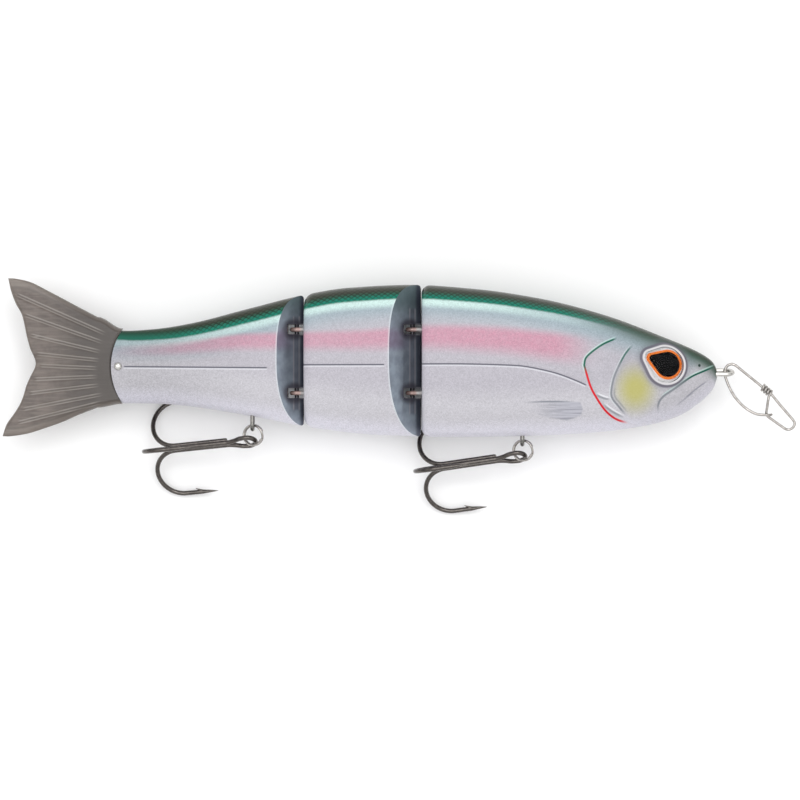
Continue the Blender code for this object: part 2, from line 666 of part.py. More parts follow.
def make_snap(where):
    """One wire: a coil on its long leg, a cross bar, the far loop, the long leg, and the bowed gate."""
    corner = [(104.2, -5.5), (98.9, 0.7), (96.4, 2.75), (89.5, 8.35)]
    leg = flowing([(*corner[0], 0), (101.4, -2.3, 0), (*corner[1], 0), (*corner[2], 0), (93, 5.5, 0),
                   (*corner[3], 0)], 4)
    coil = []
    turns = 3.25
    for k in range(int(turns * 12) + 1):
        t = k / 12
        share = 0.12 + 0.76 * t / turns
        x, y = 96.25 + 2.75 * share, 2.87 - 2.28 * share
        ahead = Vector((2.75, -2.28, 0)).normalized()
        across = Vector((0, 0, 1)).cross(ahead)
        a = 2 * math.pi * t
        spoke = across * math.cos(a) + Vector((0, 0, 1)) * math.sin(a)
        coil.append(Vector((x, y, 0)) + SNAP_COIL_R * spoke)
    bar = [coil[-1] + Vector((-0.45, -0.75, -0.02)), Vector((98.0, -1.2, 0.62)), Vector((97.8, -2.9, 0.3)),
           Vector((97.65, -4.3, 0.0))]
    low_leg = [(98.05, -5.25, 0), (99.4, -6.25, 0), (101.8, -7.95, 0), (102.6, -8.5, 0), (103.6, -8.75, 0),
               (104.7, -8.2, 0), (105.2, -7.1, 0), (104.85, -6.3, 0)]
    end_bend = [(88.5, 8.75, 0), (87.5, 8.45, 0), (86.75, 7.6, 0), (86.6, 6.5, 0), (86.75, 5.2, 0)]
    gate = [(87.7, 2.7, 0), (89.2, 0.0, 0.1), (91.5, -2.55, 0.3), (93.8, -4.1, 0.6), (95.4, -4.7, 0.8),
            (97.3, -4.85, 0.86), (98.4, -4.85, 0.75), (99.0, -4.75, 0.2)]
    points = coil + flowing(bar + [Vector(p) for p in low_leg], 3) + leg
    points += flowing([Vector(p) for p in end_bend + gate], 3)
    add(wire("snap", points, SNAP_WIRE_R, resolution=1), where, NICKEL)


def tail_surface(u, v):
    """A point of the fin's outline sheet: u from its root to its rear edge, v from below to above."""
    def along(points, t):
        at = t * (len(points) - 1)
        i = min(int(at), len(points) - 2)
        return Vector(points[i]).lerp(Vector(points[i + 1]), at - i)

    under, top = along(TAIL_UNDER, u), along(TAIL_TOP, u)
    root = Vector(TAIL_UNDER[0]).lerp(Vector(TAIL_TOP[0]), v)
    rear = along(TAIL_REAR, v)
    corners = (Vector(TAIL_UNDER[0]) * (1 - u) * (1 - v) + Vector(TAIL_TOP[0]) * (1 - u) * v
               + Vector(TAIL_UNDER[-1]) * u * (1 - v) + Vector(TAIL_TOP[-1]) * u * v)
    return under * (1 - v) + top * v + root * (1 - u) + rear * u - corners


def make_tail_fin(where):
    """A fin that thins towards its edges and starts in a round bead about the line it bends on."""
    columns, rows = 9, 16
    bm = bmesh.new()
    sheets = {}
    for side in (1, -1):
        grid = []
        for k in (60, 30):
            a = math.radians(k)
            x = TAIL_FLEX_X + TAIL_BASE_HALF * math.sin(a)
            z = side * TAIL_BASE_HALF * math.cos(a)
            ends = [tail_surface(0, j / rows).y for j in range(rows + 1)]
            grid.append([bm.verts.new((x, y, z)) for y in ends])
        for i in range(columns + 1):
            column = []
            for j in range(rows + 1):
                u, v = i / columns, j / rows
                x, y = tail_surface(u, v)
                half = (TAIL_BASE_HALF - 0.45) * (1 - u) ** 1.4 + 0.45
                half *= 0.55 + 0.45 * min(1.0, 4 * min(v, 1 - v) + 0.9 * (1 - u) ** 6)
                column.append(bm.verts.new((x, y, side * half)))
            grid.append(column)
        sheets[side] = grid
    nose = TAIL_FLEX_X + TAIL_BASE_HALF
    front = [bm.verts.new((nose, tail_surface(0, j / rows).y, 0)) for j in range(rows + 1)]
    for side, grid in sheets.items():
        for a, b in zip([front] + grid, grid):
            for j in range(rows):
                bm.faces.new((a[j], a[j + 1], b[j + 1], b[j]))
    above, below = sheets[1], sheets[-1]
    for j in range(rows):
        bm.faces.new((above[-1][j], above[-1][j + 1], below[-1][j + 1], below[-1][j]))
    for j in (0, rows):
        edge = [front[j]] + [c[j] for c in above]
        other = [front[j]] + [c[j] for c in below]
        for k in range(len(edge) - 1):
            quad = [edge[k], edge[k + 1], other[k + 1], other[k]]
            bm.faces.new(quad[1:] if k == 0 and quad[0] is quad[3] else quad)
    add(from_bmesh("tail_fin", bm), where, SOFT)


def make_tail_root(where, rear):
    """The fin's root: a plate against the body's end, and a tongue in the body's socket."""
    grown = tail_end_arc(TAIL_GAP)
    face = TAIL_FLEX_X + TAIL_BASE_HALF + 0.2
    inner = [p for p in grown if -1.6 < p[1] < 17.4]
    outline = [(face, 18.2), (face, -1.9)] + [(inner[0][0], -1.9)] + inner + [(inner[-1][0], 18.2)]
    root = prism("tail_root", outline, -2.3, 2.3)
    tongue = box("tail_tongue", (-77.6, 2.2, -1.5), (-69.7, 14.0, 1.5))
    cut(root, add(tongue, where, group=CUTTERS), "UNION")
    x, y = TAIL_PIN
    hole = rod("tail_pin_hole", (x, y, -3), (x, y, 3), 0.72, 12)
    cut(root, add(hole, where, group=CUTTERS))
    add(root, where, SOFT)
    half = flank_z(x) + 0.12
    bore = rod("tail_pin_bore", (x, y, -6), (x, y, 6), 0.66, 12)
    add(bore, rear, group=CUTTERS)
    add(rod("tail_pin", (x, y, -half), (x, y, half), 0.6, 12), rear, STEEL)
    return bore


LURE = CUTTERS = None


def main():
    global LURE, CUTTERS
    clear_scene()
    LURE, CUTTERS = collection("swimbait"), collection("cutters")
    middle = frame("middle_plane", 0, 0, HALF_WIDTH)
    head = frame("head_frame", 0, 0, parent=middle)
    mid = frame("mid_frame", FRONT_PIN_X, 0, parent=head)
    rear = frame("rear_frame", REAR_PIN_X, 0, parent=mid)
    tail = frame("tail_frame", TAIL_FLEX_X, 8, parent=rear)
    tie_bow = TIE_END_X - TIE_WIRE_R
    swivel = frame("snap_frame", tie_bow, TIE_Y, parent=head)
    head_halves, mid_halves, rear_halves = make_head(head), make_mid(mid), make_rear(rear)
    make_dowels("head", [(21, 17), (54, 10)], head, head_halves["right"], head_halves["left"])
    make_dowels("mid", [(-11, 15)], mid, mid_halves["right"], mid_halves["left"])
    make_dowels("rear", [(-46, 11)], rear, rear_halves["right"], rear_halves["left"])
    both_head, both_mid, both_rear = (list(h.values()) for h in (head_halves, mid_halves, rear_halves))
    make_joint("front", FRONT_PIN_X, FRONT_PIN_Y, head, both_head, mid, both_mid)
    make_joint("rear", REAR_PIN_X, REAR_PIN_Y, mid, both_mid, rear, both_rear)
    make_hanger("front", FRONT_HANGER, head, both_head)
    make_hanger("rear", REAR_HANGER, rear, both_rear)
    make_ballast("head_ballast_front", 38, 54, -5.4, 2.9, head, both_head)
    make_ballast("head_ballast_rear", 13, 27, -5.9, 2.9, head, both_head)
    make_ballast("mid_ballast", -17, -7, -4.9, 2.5, mid, both_mid)
    make_ballast("rear_ballast", -57, -46, 1.2, 2.2, rear, both_rear)
    make_wire_with_channel("line_tie", tie_path(), TIE_WIRE_R, head, STEEL, both_head)
    make_eyes(head, head_halves)
    make_snap(swivel)
    make_hooks("front", FRONT_HANGER, FRONT_HOOK_SLOPE, head)
    make_hooks("rear", REAR_HANGER, REAR_HOOK_SLOPE, rear)
    bore = make_tail_root(rear, rear)
    for half in both_rear:
        cut(half, bore)
    make_tail_fin(tail)


main()
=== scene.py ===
"""The look of a three-section jointed swimbait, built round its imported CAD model.

Shapes are worked out in millimetres with z counted from the fish's middle plane, and are lifted by half
the body's width when they are put in place, where +X runs to the nose and +Y to the back.
"""

import math

import bmesh
import bpy
import numpy as np
from mathutils import Matrix, Vector


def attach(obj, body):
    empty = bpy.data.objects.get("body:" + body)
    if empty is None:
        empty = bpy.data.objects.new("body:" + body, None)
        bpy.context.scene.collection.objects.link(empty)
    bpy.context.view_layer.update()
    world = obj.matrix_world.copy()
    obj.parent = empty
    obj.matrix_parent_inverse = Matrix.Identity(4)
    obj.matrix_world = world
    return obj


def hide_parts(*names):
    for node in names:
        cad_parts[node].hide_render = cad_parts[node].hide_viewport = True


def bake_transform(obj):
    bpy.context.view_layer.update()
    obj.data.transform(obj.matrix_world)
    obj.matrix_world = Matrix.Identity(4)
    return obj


MM = 0.001
SMOOTH_ANGLE = 40

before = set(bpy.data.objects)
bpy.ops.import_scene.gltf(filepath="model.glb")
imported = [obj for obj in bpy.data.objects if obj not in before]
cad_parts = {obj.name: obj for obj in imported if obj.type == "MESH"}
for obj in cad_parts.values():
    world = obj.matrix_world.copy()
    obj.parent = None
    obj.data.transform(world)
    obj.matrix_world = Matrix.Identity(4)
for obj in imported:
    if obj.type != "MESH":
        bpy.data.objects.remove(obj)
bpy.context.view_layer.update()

# ---------------------------------------------------------------- sizes shared with the CAD model
BACK = [(-79, 17.6), (-73, 17.6), (-65, 18.1), (-56.5, 19.4), (-39.4, 23.7), (-26.6, 26.9), (-13.9, 29.0),
        (3, 29.8), (20, 28.7), (37, 26.2), (54, 21.9), (71.4, 15.4), (77.8, 12.7), (81, 11.0), (83.2, 9.3),
        (84.2, 7.6), (84.5, 6.4)]
BELLY = [(-79, -1.6), (-73, -1.7), (-65, -1.8), (-56.5, -2.5), (-39.4, -5.2), (-22.4, -8.4), (-5.3, -10.2),
         (14, -10.75), (35, -10.4), (52.2, -9.5), (65, -7.8), (71.4, -6.2), (75.7, -4.4), (80, -1.4),
         (82.2, 0.6), (83.7, 2.7), (84.5, 5.2)]
FLANK = [(-79, 2.9), (-73, 3.3), (-65, 4.5), (-55, 6.3), (-40, 9.1), (-26, 10.9), (-10, 12.1), (5, 12.7),
         (25, 13.0), (40, 12.8), (50, 12.1), (60, 10.7), (70, 8.5), (75, 7.1), (80, 5.3), (82.5, 4.0),
         (83.9, 2.4), (84.5, 0.8)]
HALF_WIDTH = 13.0
BACK_FULLNESS = 3.0
BELLY_FULLNESS = 2.25
FRONT_PIN_X = 3.3
REAR_PIN_X = -27.5
FRONT_TIP_R = 2.3
REAR_TIP_R = 1.9
JOINT_GAP = 0.15
V_ANGLE = math.radians(36)
PIN_R = 0.6
FRONT_PIN_Y = (-4.7, 23.5)
REAR_PIN_Y = (-3.6, 21.4)
LUG_Y = (17.9, 1.0)
EYE_WIRE_R = 0.58
EYE_LOOP_R = 1.3
SLOT_HALF = 1.3
SLOT_BACK = 2.3
HANGER_WIRE_R = 0.56
HANGER_HALF = 1.6
FRONT_HANGER = (32.6, -12.75)
REAR_HANGER = (-39.3, -8.7)
RING_R = 2.65
RING_WIRE_R = 0.32
RING_LAYER = 0.36
RING_TILT = math.radians(22)
RING_LIFT = 1.1
HOOK_AT = math.radians(218)
HOOK_PLAY = (3.1, 0.3)
HOOK_WIRE_R = 0.62
HOOK_CORE = 0.75
HOOK_EYE_HALF = 2.3
HOOK_EYE_SHOULDER = 8.0
HOOK_BEND_AT = 22.8
HOOK_BEND_LONG = 6.4
HOOK_REACH = 14.4
HOOK_POINT = 8.9
HOOK_DROP = math.radians(10.3)
FRONT_HOOK_SLOPE = math.radians(8.5)
REAR_HOOK_SLOPE = math.radians(6)
TIE_WIRE_R = 0.6
TIE_HALF = 1.7
TIE_Y = 6.5
TIE_END_X = 89.2
TIE_TILT = math.radians(18)
SNAP_WIRE_R = 0.36
SNAP_COIL_R = 0.78
TAIL_EDGE_X = -76.75
TAIL_EDGE_Y = 8.05
TAIL_EDGE_R = 17.9
TAIL_PIN = (-74.9, 8.1)
TAIL_BASE_HALF = 1.9
TAIL_GAP = 0.2
TAIL_TOP = [(-80.6, 21.3), (-85.8, 24.0), (-89.9, 26.2), (-94.1, 28.4), (-98.3, 30.5), (-102.2, 31.45),
            (-104.4, 31.6)]
TAIL_UNDER = [(-80.6, -2.9), (-85.8, -4.9), (-89.9, -6.7), (-94.7, -8.4), (-99.2, -9.8), (-103.6, -10.5),
              (-105.9, -10.5)]
TAIL_REAR = [(-105.9, -10.5), (-104.8, -7.3), (-102.7, -4.3), (-101.1, -1.6), (-100.2, 0.8), (-99.6, 2.9),
             (-98.6, 5.2), (-97.4, 7.6), (-97.1, 9.1), (-97.5, 10.6), (-98.6, 13.0), (-99.6, 16.8),
             (-100.2, 19.8), (-100.9, 22.2), (-102.4, 24.9), (-103.6, 28.1), (-104.4, 31.6)]
EYE_CENTRE = (70.4, 8.5)
EYE_R = 4.7
EYE_TIP = 6.5
EYE_TIP_ANGLE = math.radians(158)
EYE_DEPTH = 1.9

# ---------------------------------------------------------------- lines drawn on the flanks, x and y
LATERAL = {
    "head": [(5.4, 8.63), (17.0, 8.63), (28.9, 8.29), (34.0, 7.78), (40.8, 6.26), (45.9, 4.4),
             (49.2, 2.95)],
    "mid": [(-25.8, 8.42), (-4.0, 8.47)],
    "rear": [(-73.6, 8.02), (-34.8, 7.65)],
}
OPERCLE = [(57.35, 15.56), (53.03, 13.62), (49.2, 10.66), (48.45, 8.58), (48.58, 7.68), (50.0, 2.96),
           (51.57, -0.05), (54.07, -3.57), (56.92, -5.81), (60.1, -6.9)]
PREOPERCLE = [(61.38, 13.78), (59.3, 11.25), (57.51, 7.97), (56.18, 4.69), (55.57, 1.15), (56.02, -0.64),
              (57.51, -2.43), (59.88, -5.12)]
GILL_RAYS = [[(51.1, 0.75), (53.4, -0.3), (55.6, -0.85)], [(53.0, -1.7), (56.0, -3.9), (59.5, -5.7)]]
MOUTH = [(84.3, 8.3), (80.4, 6.75), (76.83, 5.14), (72.38, 2.03), (69.4, -0.05), (68.22, -2.13),
         (68.52, -4.82)]
JAW = [[(82.19, 4.69), (78.6, 2.2), (74.75, -0.96)], [(78.35, 1.55), (75.6, -0.4), (72.67, -2.72)]]
FIN_TOP = [(32.0, -1.5), (40.0, -1.25), (47.4, -1.39)]
FIN_EDGE = [(30.0, -1.35), (40.0, -1.2), (47.5, -1.35), (48.2, -3.33), (47.7, -4.9), (44.2, -6.3),
            (37.5, -5.2), (31.0, -3.0)]
NOSTRIL = (79.3, 8.3)
CHEEK = (61.96, 2.03)


def curve_through(points):
    """A smooth function through (x, y) points that never overshoots them (monotone cubic), over arrays."""
    xs = np.array([p[0] for p in points], float)
    ys = np.array([p[1] for p in points], float)
    steps = np.diff(ys) / np.diff(xs)
    slopes = [steps[0]]
    for a, b in zip(steps, steps[1:]):
        slopes.append(0 if a * b <= 0 else 2 * a * b / (a + b))
    slopes = np.array(slopes + [steps[-1]])

    def value(x):
        x = np.clip(np.asarray(x, float), xs[0], xs[-1])
        i = np.clip(np.searchsorted(xs, x, side="right") - 1, 0, len(xs) - 2)
        width = xs[i + 1] - xs[i]
        t = (x - xs[i]) / width
        return (ys[i] * (1 + 2 * t) * (1 - t) ** 2 + slopes[i] * width * t * (1 - t) ** 2
                + ys[i + 1] * t * t * (3 - 2 * t) + slopes[i + 1] * width * t * t * (t - 1))

    return value


back_y, belly_y, flank_z = curve_through(BACK), curve_through(BELLY), curve_through(FLANK)


# ---------------------------------------------------------------- mesh helpers
def mesh_object(name, points, faces, smooth=SMOOTH_ANGLE):
    """A mesh object from points in millimetres about the middle plane."""
    mesh = bpy.data.meshes.new(name)
    placed = (np.asarray(points, float) + (0, 0, HALF_WIDTH)) * MM
    mesh.from_pydata(placed.tolist(), [], faces)
    bm = bmesh.new()
    bm.from_mesh(mesh)
    bmesh.ops.recalc_face_normals(bm, faces=bm.faces)
    bm.to_mesh(mesh)
    bm.free()
    finish_mesh(mesh, smooth)
    return placed_object(name, mesh)


def placed_object(name, data):
    obj = bpy.data.objects.new(name, data)
    bpy.context.scene.collection.objects.link(obj)
    return obj


def finish_mesh(mesh, smooth):
    mesh.shade_smooth()
    mesh.set_sharp_from_angle(angle=math.radians(smooth))
    mesh.update()


def tube_faces(rings, sides, capped=True, closed=False):
    faces = []
    count = rings if closed else rings - 1
    for s in range(count):
        a, b = s * sides, ((s + 1) % rings) * sides
        for k in range(sides):
            j = (k + 1) % sides
            faces.append((a + k, a + j, b + j, b + k))
    if capped and not closed:
        faces.append(tuple(reversed(range(sides))))
        faces.append(tuple(range((rings - 1) * sides, rings * sides)))
    return faces


def sweep(points, radii, sides=18):
    """Rings of a wire along the points, as points and faces."""
    path = np.array([tuple(p) for p in points], float)
    radii = np.broadcast_to(np.asarray(radii, float), (len(path),))
    ahead = np.gradient(path, axis=0)
    ahead /= np.linalg.norm(ahead, axis=1)[:, None]
    side = np.cross(ahead[0], (0.31, 0.52, 0.79))
    turns = np.linspace(0, 2 * math.pi, sides, endpoint=False)
    rings = []
    for p, t, r in zip(path, ahead, radii):
        side = side - t * side.dot(t)
        side /= np.linalg.norm(side)
        up = np.cross(t, side)
        rings.append(p + r * (np.outer(np.cos(turns), side) + np.outer(np.sin(turns), up)))
    return np.concatenate(rings), tube_faces(len(path), sides)


def joined(name, parts):
    """One object from several (points, faces) parts."""
    points, faces, base = [], [], 0
    for p, f in parts:
        points.append(np.asarray(p))
        faces += [tuple(i + base for i in face) for face in f]
        base += len(p)
    return mesh_object(name, np.concatenate(points), faces)


def prism_object(name, outline, low, high, plane="XY"):
    """A flat outline given thickness, as a cutter."""
    n = len(outline)
    points = []
    for level in (low, high):
        for u, v in outline:
            points.append((u, v, level) if plane == "XY" else (u, level, v))
    faces = [tuple(range(n)), tuple(reversed(range(n, 2 * n)))]
    faces += [(i, (i + 1) % n, (i + 1) % n + n, i + n) for i in range(n)]
    return mesh_object(name, points, faces)


def box_object(name, low, high):
    (x0, y0, z0), (x1, y1, z1) = low, high
    return prism_object(name, [(x0, y0), (x1, y0), (x1, y1), (x0, y1)], z0, z1)


def apply_cuts(obj, cuts):
    """Cuts a skin and removes the cutters. Cut faces are bare plastic, with painted shade inside the slots.
    """
    for cutter, operation in cuts:
        cutter.data.materials.append(SLOT if "slot" in cutter.name else SMOKE)
        modifier = obj.modifiers.new(cutter.name, "BOOLEAN")
        modifier.object, modifier.operation, modifier.solver = cutter, operation, "EXACT"
        modifier.material_mode = "TRANSFER"
    bpy.context.view_layer.update()
    graph = bpy.context.evaluated_depsgraph_get()
    mesh = bpy.data.meshes.new_from_object(obj.evaluated_get(graph))
    obj.modifiers.clear()
    obj.data = mesh
    for cutter, _ in cuts:
        bpy.data.objects.remove(cutter, do_unlink=True)
    finish_mesh(mesh, SMOOTH_ANGLE)


def own_points(obj):
    """The mesh's points in millimetres about the middle plane, as an array."""
    flat = np.empty(len(obj.data.vertices) * 3)
    obj.data.vertices.foreach_get("co", flat)
    return flat.reshape(-1, 3) / MM - (0, 0, HALF_WIDTH)


def give(obj, name, values):
    """A number at each point of the mesh, for its material to read."""
    layer = obj.data.attributes.new(name, "FLOAT", "POINT")
    layer.data.foreach_set("value", np.ascontiguousarray(values, dtype=np.float32))


def smoothstep(low, high, value):
    t = np.clip((value - low) / (high - low), 0, 1)
    return t * t * (3 - 2 * t)


# ---------------------------------------------------------------- lines and outlines as fields
def flowing(corners, steps=5):
    """Points of a smooth line through the corners (Catmull-Rom)."""
    knots = [Vector(c) for c in corners]
    knots = [2 * knots[0] - knots[1]] + knots + [2 * knots[-1] - knots[-2]]
    points = []
    for a, b, c, d in zip(knots, knots[1:], knots[2:], knots[3:]):
        for k in range(steps):
            t = k / steps
            points.append(0.5 * (2 * b + (c - a) * t + (2 * a - 5 * b + 4 * c - d) * t * t
                                 + (3 * b - a - 3 * c + d) * t ** 3))
    points.append(knots[-2])
    return points


def line_field(x, y, corners, smooth=6):
    """Signed distance to a line, positive on its left, and how far along it that is, from 0 to 1."""
    line = [(*c, 0.0) for c in corners]
    if len(line) > 2:
        line = flowing(line, smooth)
    pts = np.array([(p[0], p[1]) for p in line], float)
    a, d = pts[:-1], np.diff(pts, axis=0)
    length = np.hypot(d[:, 0], d[:, 1])
    start = np.concatenate([[0], np.cumsum(length)[:-1]])
    shape = x.shape
    x, y = x.ravel(), y.ravel()
    px, py = x[:, None] - a[:, 0], y[:, None] - a[:, 1]
    t = np.clip((px * d[:, 0] + py * d[:, 1]) / length ** 2, 0, 1)
    far = np.hypot(px - t * d[:, 0], py - t * d[:, 1])
    i = far.argmin(axis=1)
    row = np.arange(len(x))
    sign = np.where(d[i, 0] * py[row, i] - d[i, 1] * px[row, i] < 0, -1.0, 1.0)
    along = (start[i] + t[row, i] * length[i]) / length.sum()
    return (sign * far[row, i]).reshape(shape), along.reshape(shape)


def egg_outline(radius, nose, tip, angle, centre=(0, 0)):
    """Two circles wrapped by one line, the small one pointing along the angle, anticlockwise."""
    reach = tip - nose
    half = math.acos((radius - nose) / reach)

    def arc(x, y, size, start, turn, steps):
        angles = [start + turn * k / steps for k in range(steps + 1)]
        return [(x + size * math.cos(a), y + size * math.sin(a)) for a in angles]

    x, y = centre
    large = arc(x, y, radius, angle + half, 2 * math.pi - 2 * half, 60)
    x, y = x + reach * math.cos(angle), y + reach * math.sin(angle)
    return large + arc(x, y, nose, angle - half, 2 * half, 14)


def convex_field(u, v, outline):
    """Signed distance to a convex outline given anticlockwise, positive outside."""
    pts = np.array(outline, float)
    edge = np.roll(pts, -1, axis=0) - pts
    keep = np.hypot(edge[:, 0], edge[:, 1]) > 1e-6
    pts, edge = pts[keep], edge[keep]
    out = np.stack([edge[:, 1], -edge[:, 0]], axis=1)
    out /= np.linalg.norm(out, axis=1)[:, None]
    level = (out * pts).sum(axis=1)
    shape = u.shape
    flat = np.stack([u.ravel(), v.ravel()], axis=1)
    best = np.full(len(flat), -1e9)
    for n, c in zip(out, level):
        best = np.maximum(best, flat @ n - c)
    return best.reshape(shape)


# ---------------------------------------------------------------- materials
def linear(colour):
    """A linear colour from everyday red, green and blue of 0 to 255. Anything else stays as it is."""
    if not isinstance(colour, tuple) or len(colour) != 3:
        return colour

    def line(c):
        c /= 255
        return c / 12.92 if c <= 0.04045 else ((c + 0.055) / 1.055) ** 2.4
    return (*(line(c) for c in colour), 1.0)


class Value:
    """What a node puts out. Arithmetic on it adds a node that works out the result."""

    def __init__(self, nodes, socket):
        self.nodes = nodes
        self.socket = socket

    def __add__(self, other):
        return self.nodes.math("ADD", self, other)

    def __sub__(self, other):
        return self.nodes.math("SUBTRACT", self, other)

    def __rsub__(self, other):
        return self.nodes.math("SUBTRACT", other, self)

    def __mul__(self, other):
        return self.nodes.math("MULTIPLY", self, other)

    def __pow__(self, other):
        return self.nodes.math("POWER", self, other)

    def __abs__(self):
        return self.nodes.math("ABSOLUTE", self)


class Nodes:
    """Short ways of adding nodes to a tree."""

    def __init__(self, tree):
        self.tree = tree

    def put(self, socket, value):
        if isinstance(value, Value):
            self.tree.links.new(value.socket, socket)
        else:
            socket.default_value = value

    def add(self, kind, inputs, output=0, **settings):
        """Adds a node, fills its inputs by number or name and gives one of its outputs."""
        made = self.tree.nodes.new("ShaderNode" + kind)
        for key, value in settings.items():
            setattr(made, key, value)
        for key, value in inputs.items():
            self.put(made.inputs[key], value)
        return Value(self, made.outputs[output])

    def math(self, operation, a, b=0.0):
        return self.add("Math", {0: a, 1: b}, operation=operation)

    def ramp(self, value, low, high, out_low=0.0, out_high=1.0):
        """Smooth step of value between low and high, which may run either way."""
        inputs = {0: value, 1: low, 2: high, 3: out_low, 4: out_high}
        return self.add("MapRange", inputs, interpolation_type="SMOOTHSTEP")

    def mix(self, share, a, b, blend="MIX"):
        inputs = {0: share, 6: linear(a), 7: linear(b)}
        return self.add("Mix", inputs, 2, data_type="RGBA", blend_type=blend)


class Look(Nodes):
    """A Principled material, whose colour is laid on in layers. Its coordinates are millimetres."""

    def __init__(self, name, **sockets):
        self.material = bpy.data.materials.new(name)
        self.material.use_nodes = True
        super().__init__(self.material.node_tree)
        self.shader = self.tree.nodes["Principled BSDF"]
        for key, value in sockets.items():
            self.shader.inputs[key.replace("_", " ")].default_value = value
        coords = self.add("TexCoord", {}, "Object")
        self.place = self.add("VectorMath", {0: coords, "Scale": 1 / MM}, operation="SCALE")
        self.colour = None

    def attr(self, name):
        return self.add("Attribute", {}, "Fac", attribute_name=name)

    def axis(self, letter):
        return self.add("SeparateXYZ", {0: self.place}, letter)

    def stretched(self, factors):
        return self.add("VectorMath", {0: self.place, 1: factors}, operation="MULTIPLY")

    def distance(self, spot):
        """How far each point is from a spot on the flank, with heights counted a little less."""
        shorten = 0.88
        inputs = {0: self.stretched((1, shorten, 0)), 1: (spot[0], spot[1] * shorten, 0)}
        return self.add("VectorMath", inputs, "Value", operation="DISTANCE")

    def noise(self, scale, detail=2.0, roughness=0.5, stretch=(1, 1, 1)):
        return self.add("TexNoise", {"Vector": self.stretched(stretch), "Scale": scale, "Detail": detail,
                                     "Roughness": roughness})

    def flakes(self, scale):
        cells = self.add("TexVoronoi", {"Vector": self.place, "Scale": scale}, "Color", feature="F1")
        return self.add("SeparateColor", {0: cells})

    def cover(self, share, colour):
        """Lays a colour over what is there, as thickly as the share says."""
        self.colour = self.mix(share, self.colour, colour)

    def draw(self, name, half_width, soft, colour, strength=1.0, start=0.0, end=1.0, fade=0.05, shift=0.0):
        """Paints a drawn line. start and end say which part of it, shift moves it sideways."""
        along = self.attr(name + "_along")
        on = self.ramp(abs(self.attr(name) - shift), half_width + soft, half_width)
        ends = self.ramp(along, start, start + fade) * self.ramp(along, end, end - fade)
        self.cover(on * ends * strength, colour)

    def finish(self, roughness, height=None, strength=0.0, depth=0.0):
        """Connects the colour, the roughness and a fine relief, and gives the material."""
        inputs = self.shader.inputs
        self.put(inputs["Base Color"], self.colour)
        self.put(inputs["Roughness"], roughness)
        if height is not None:
            relief = {"Height": height, "Strength": strength, "Distance": depth * MM}
            self.put(inputs["Normal"], self.add("Bump", relief))
        return self.material


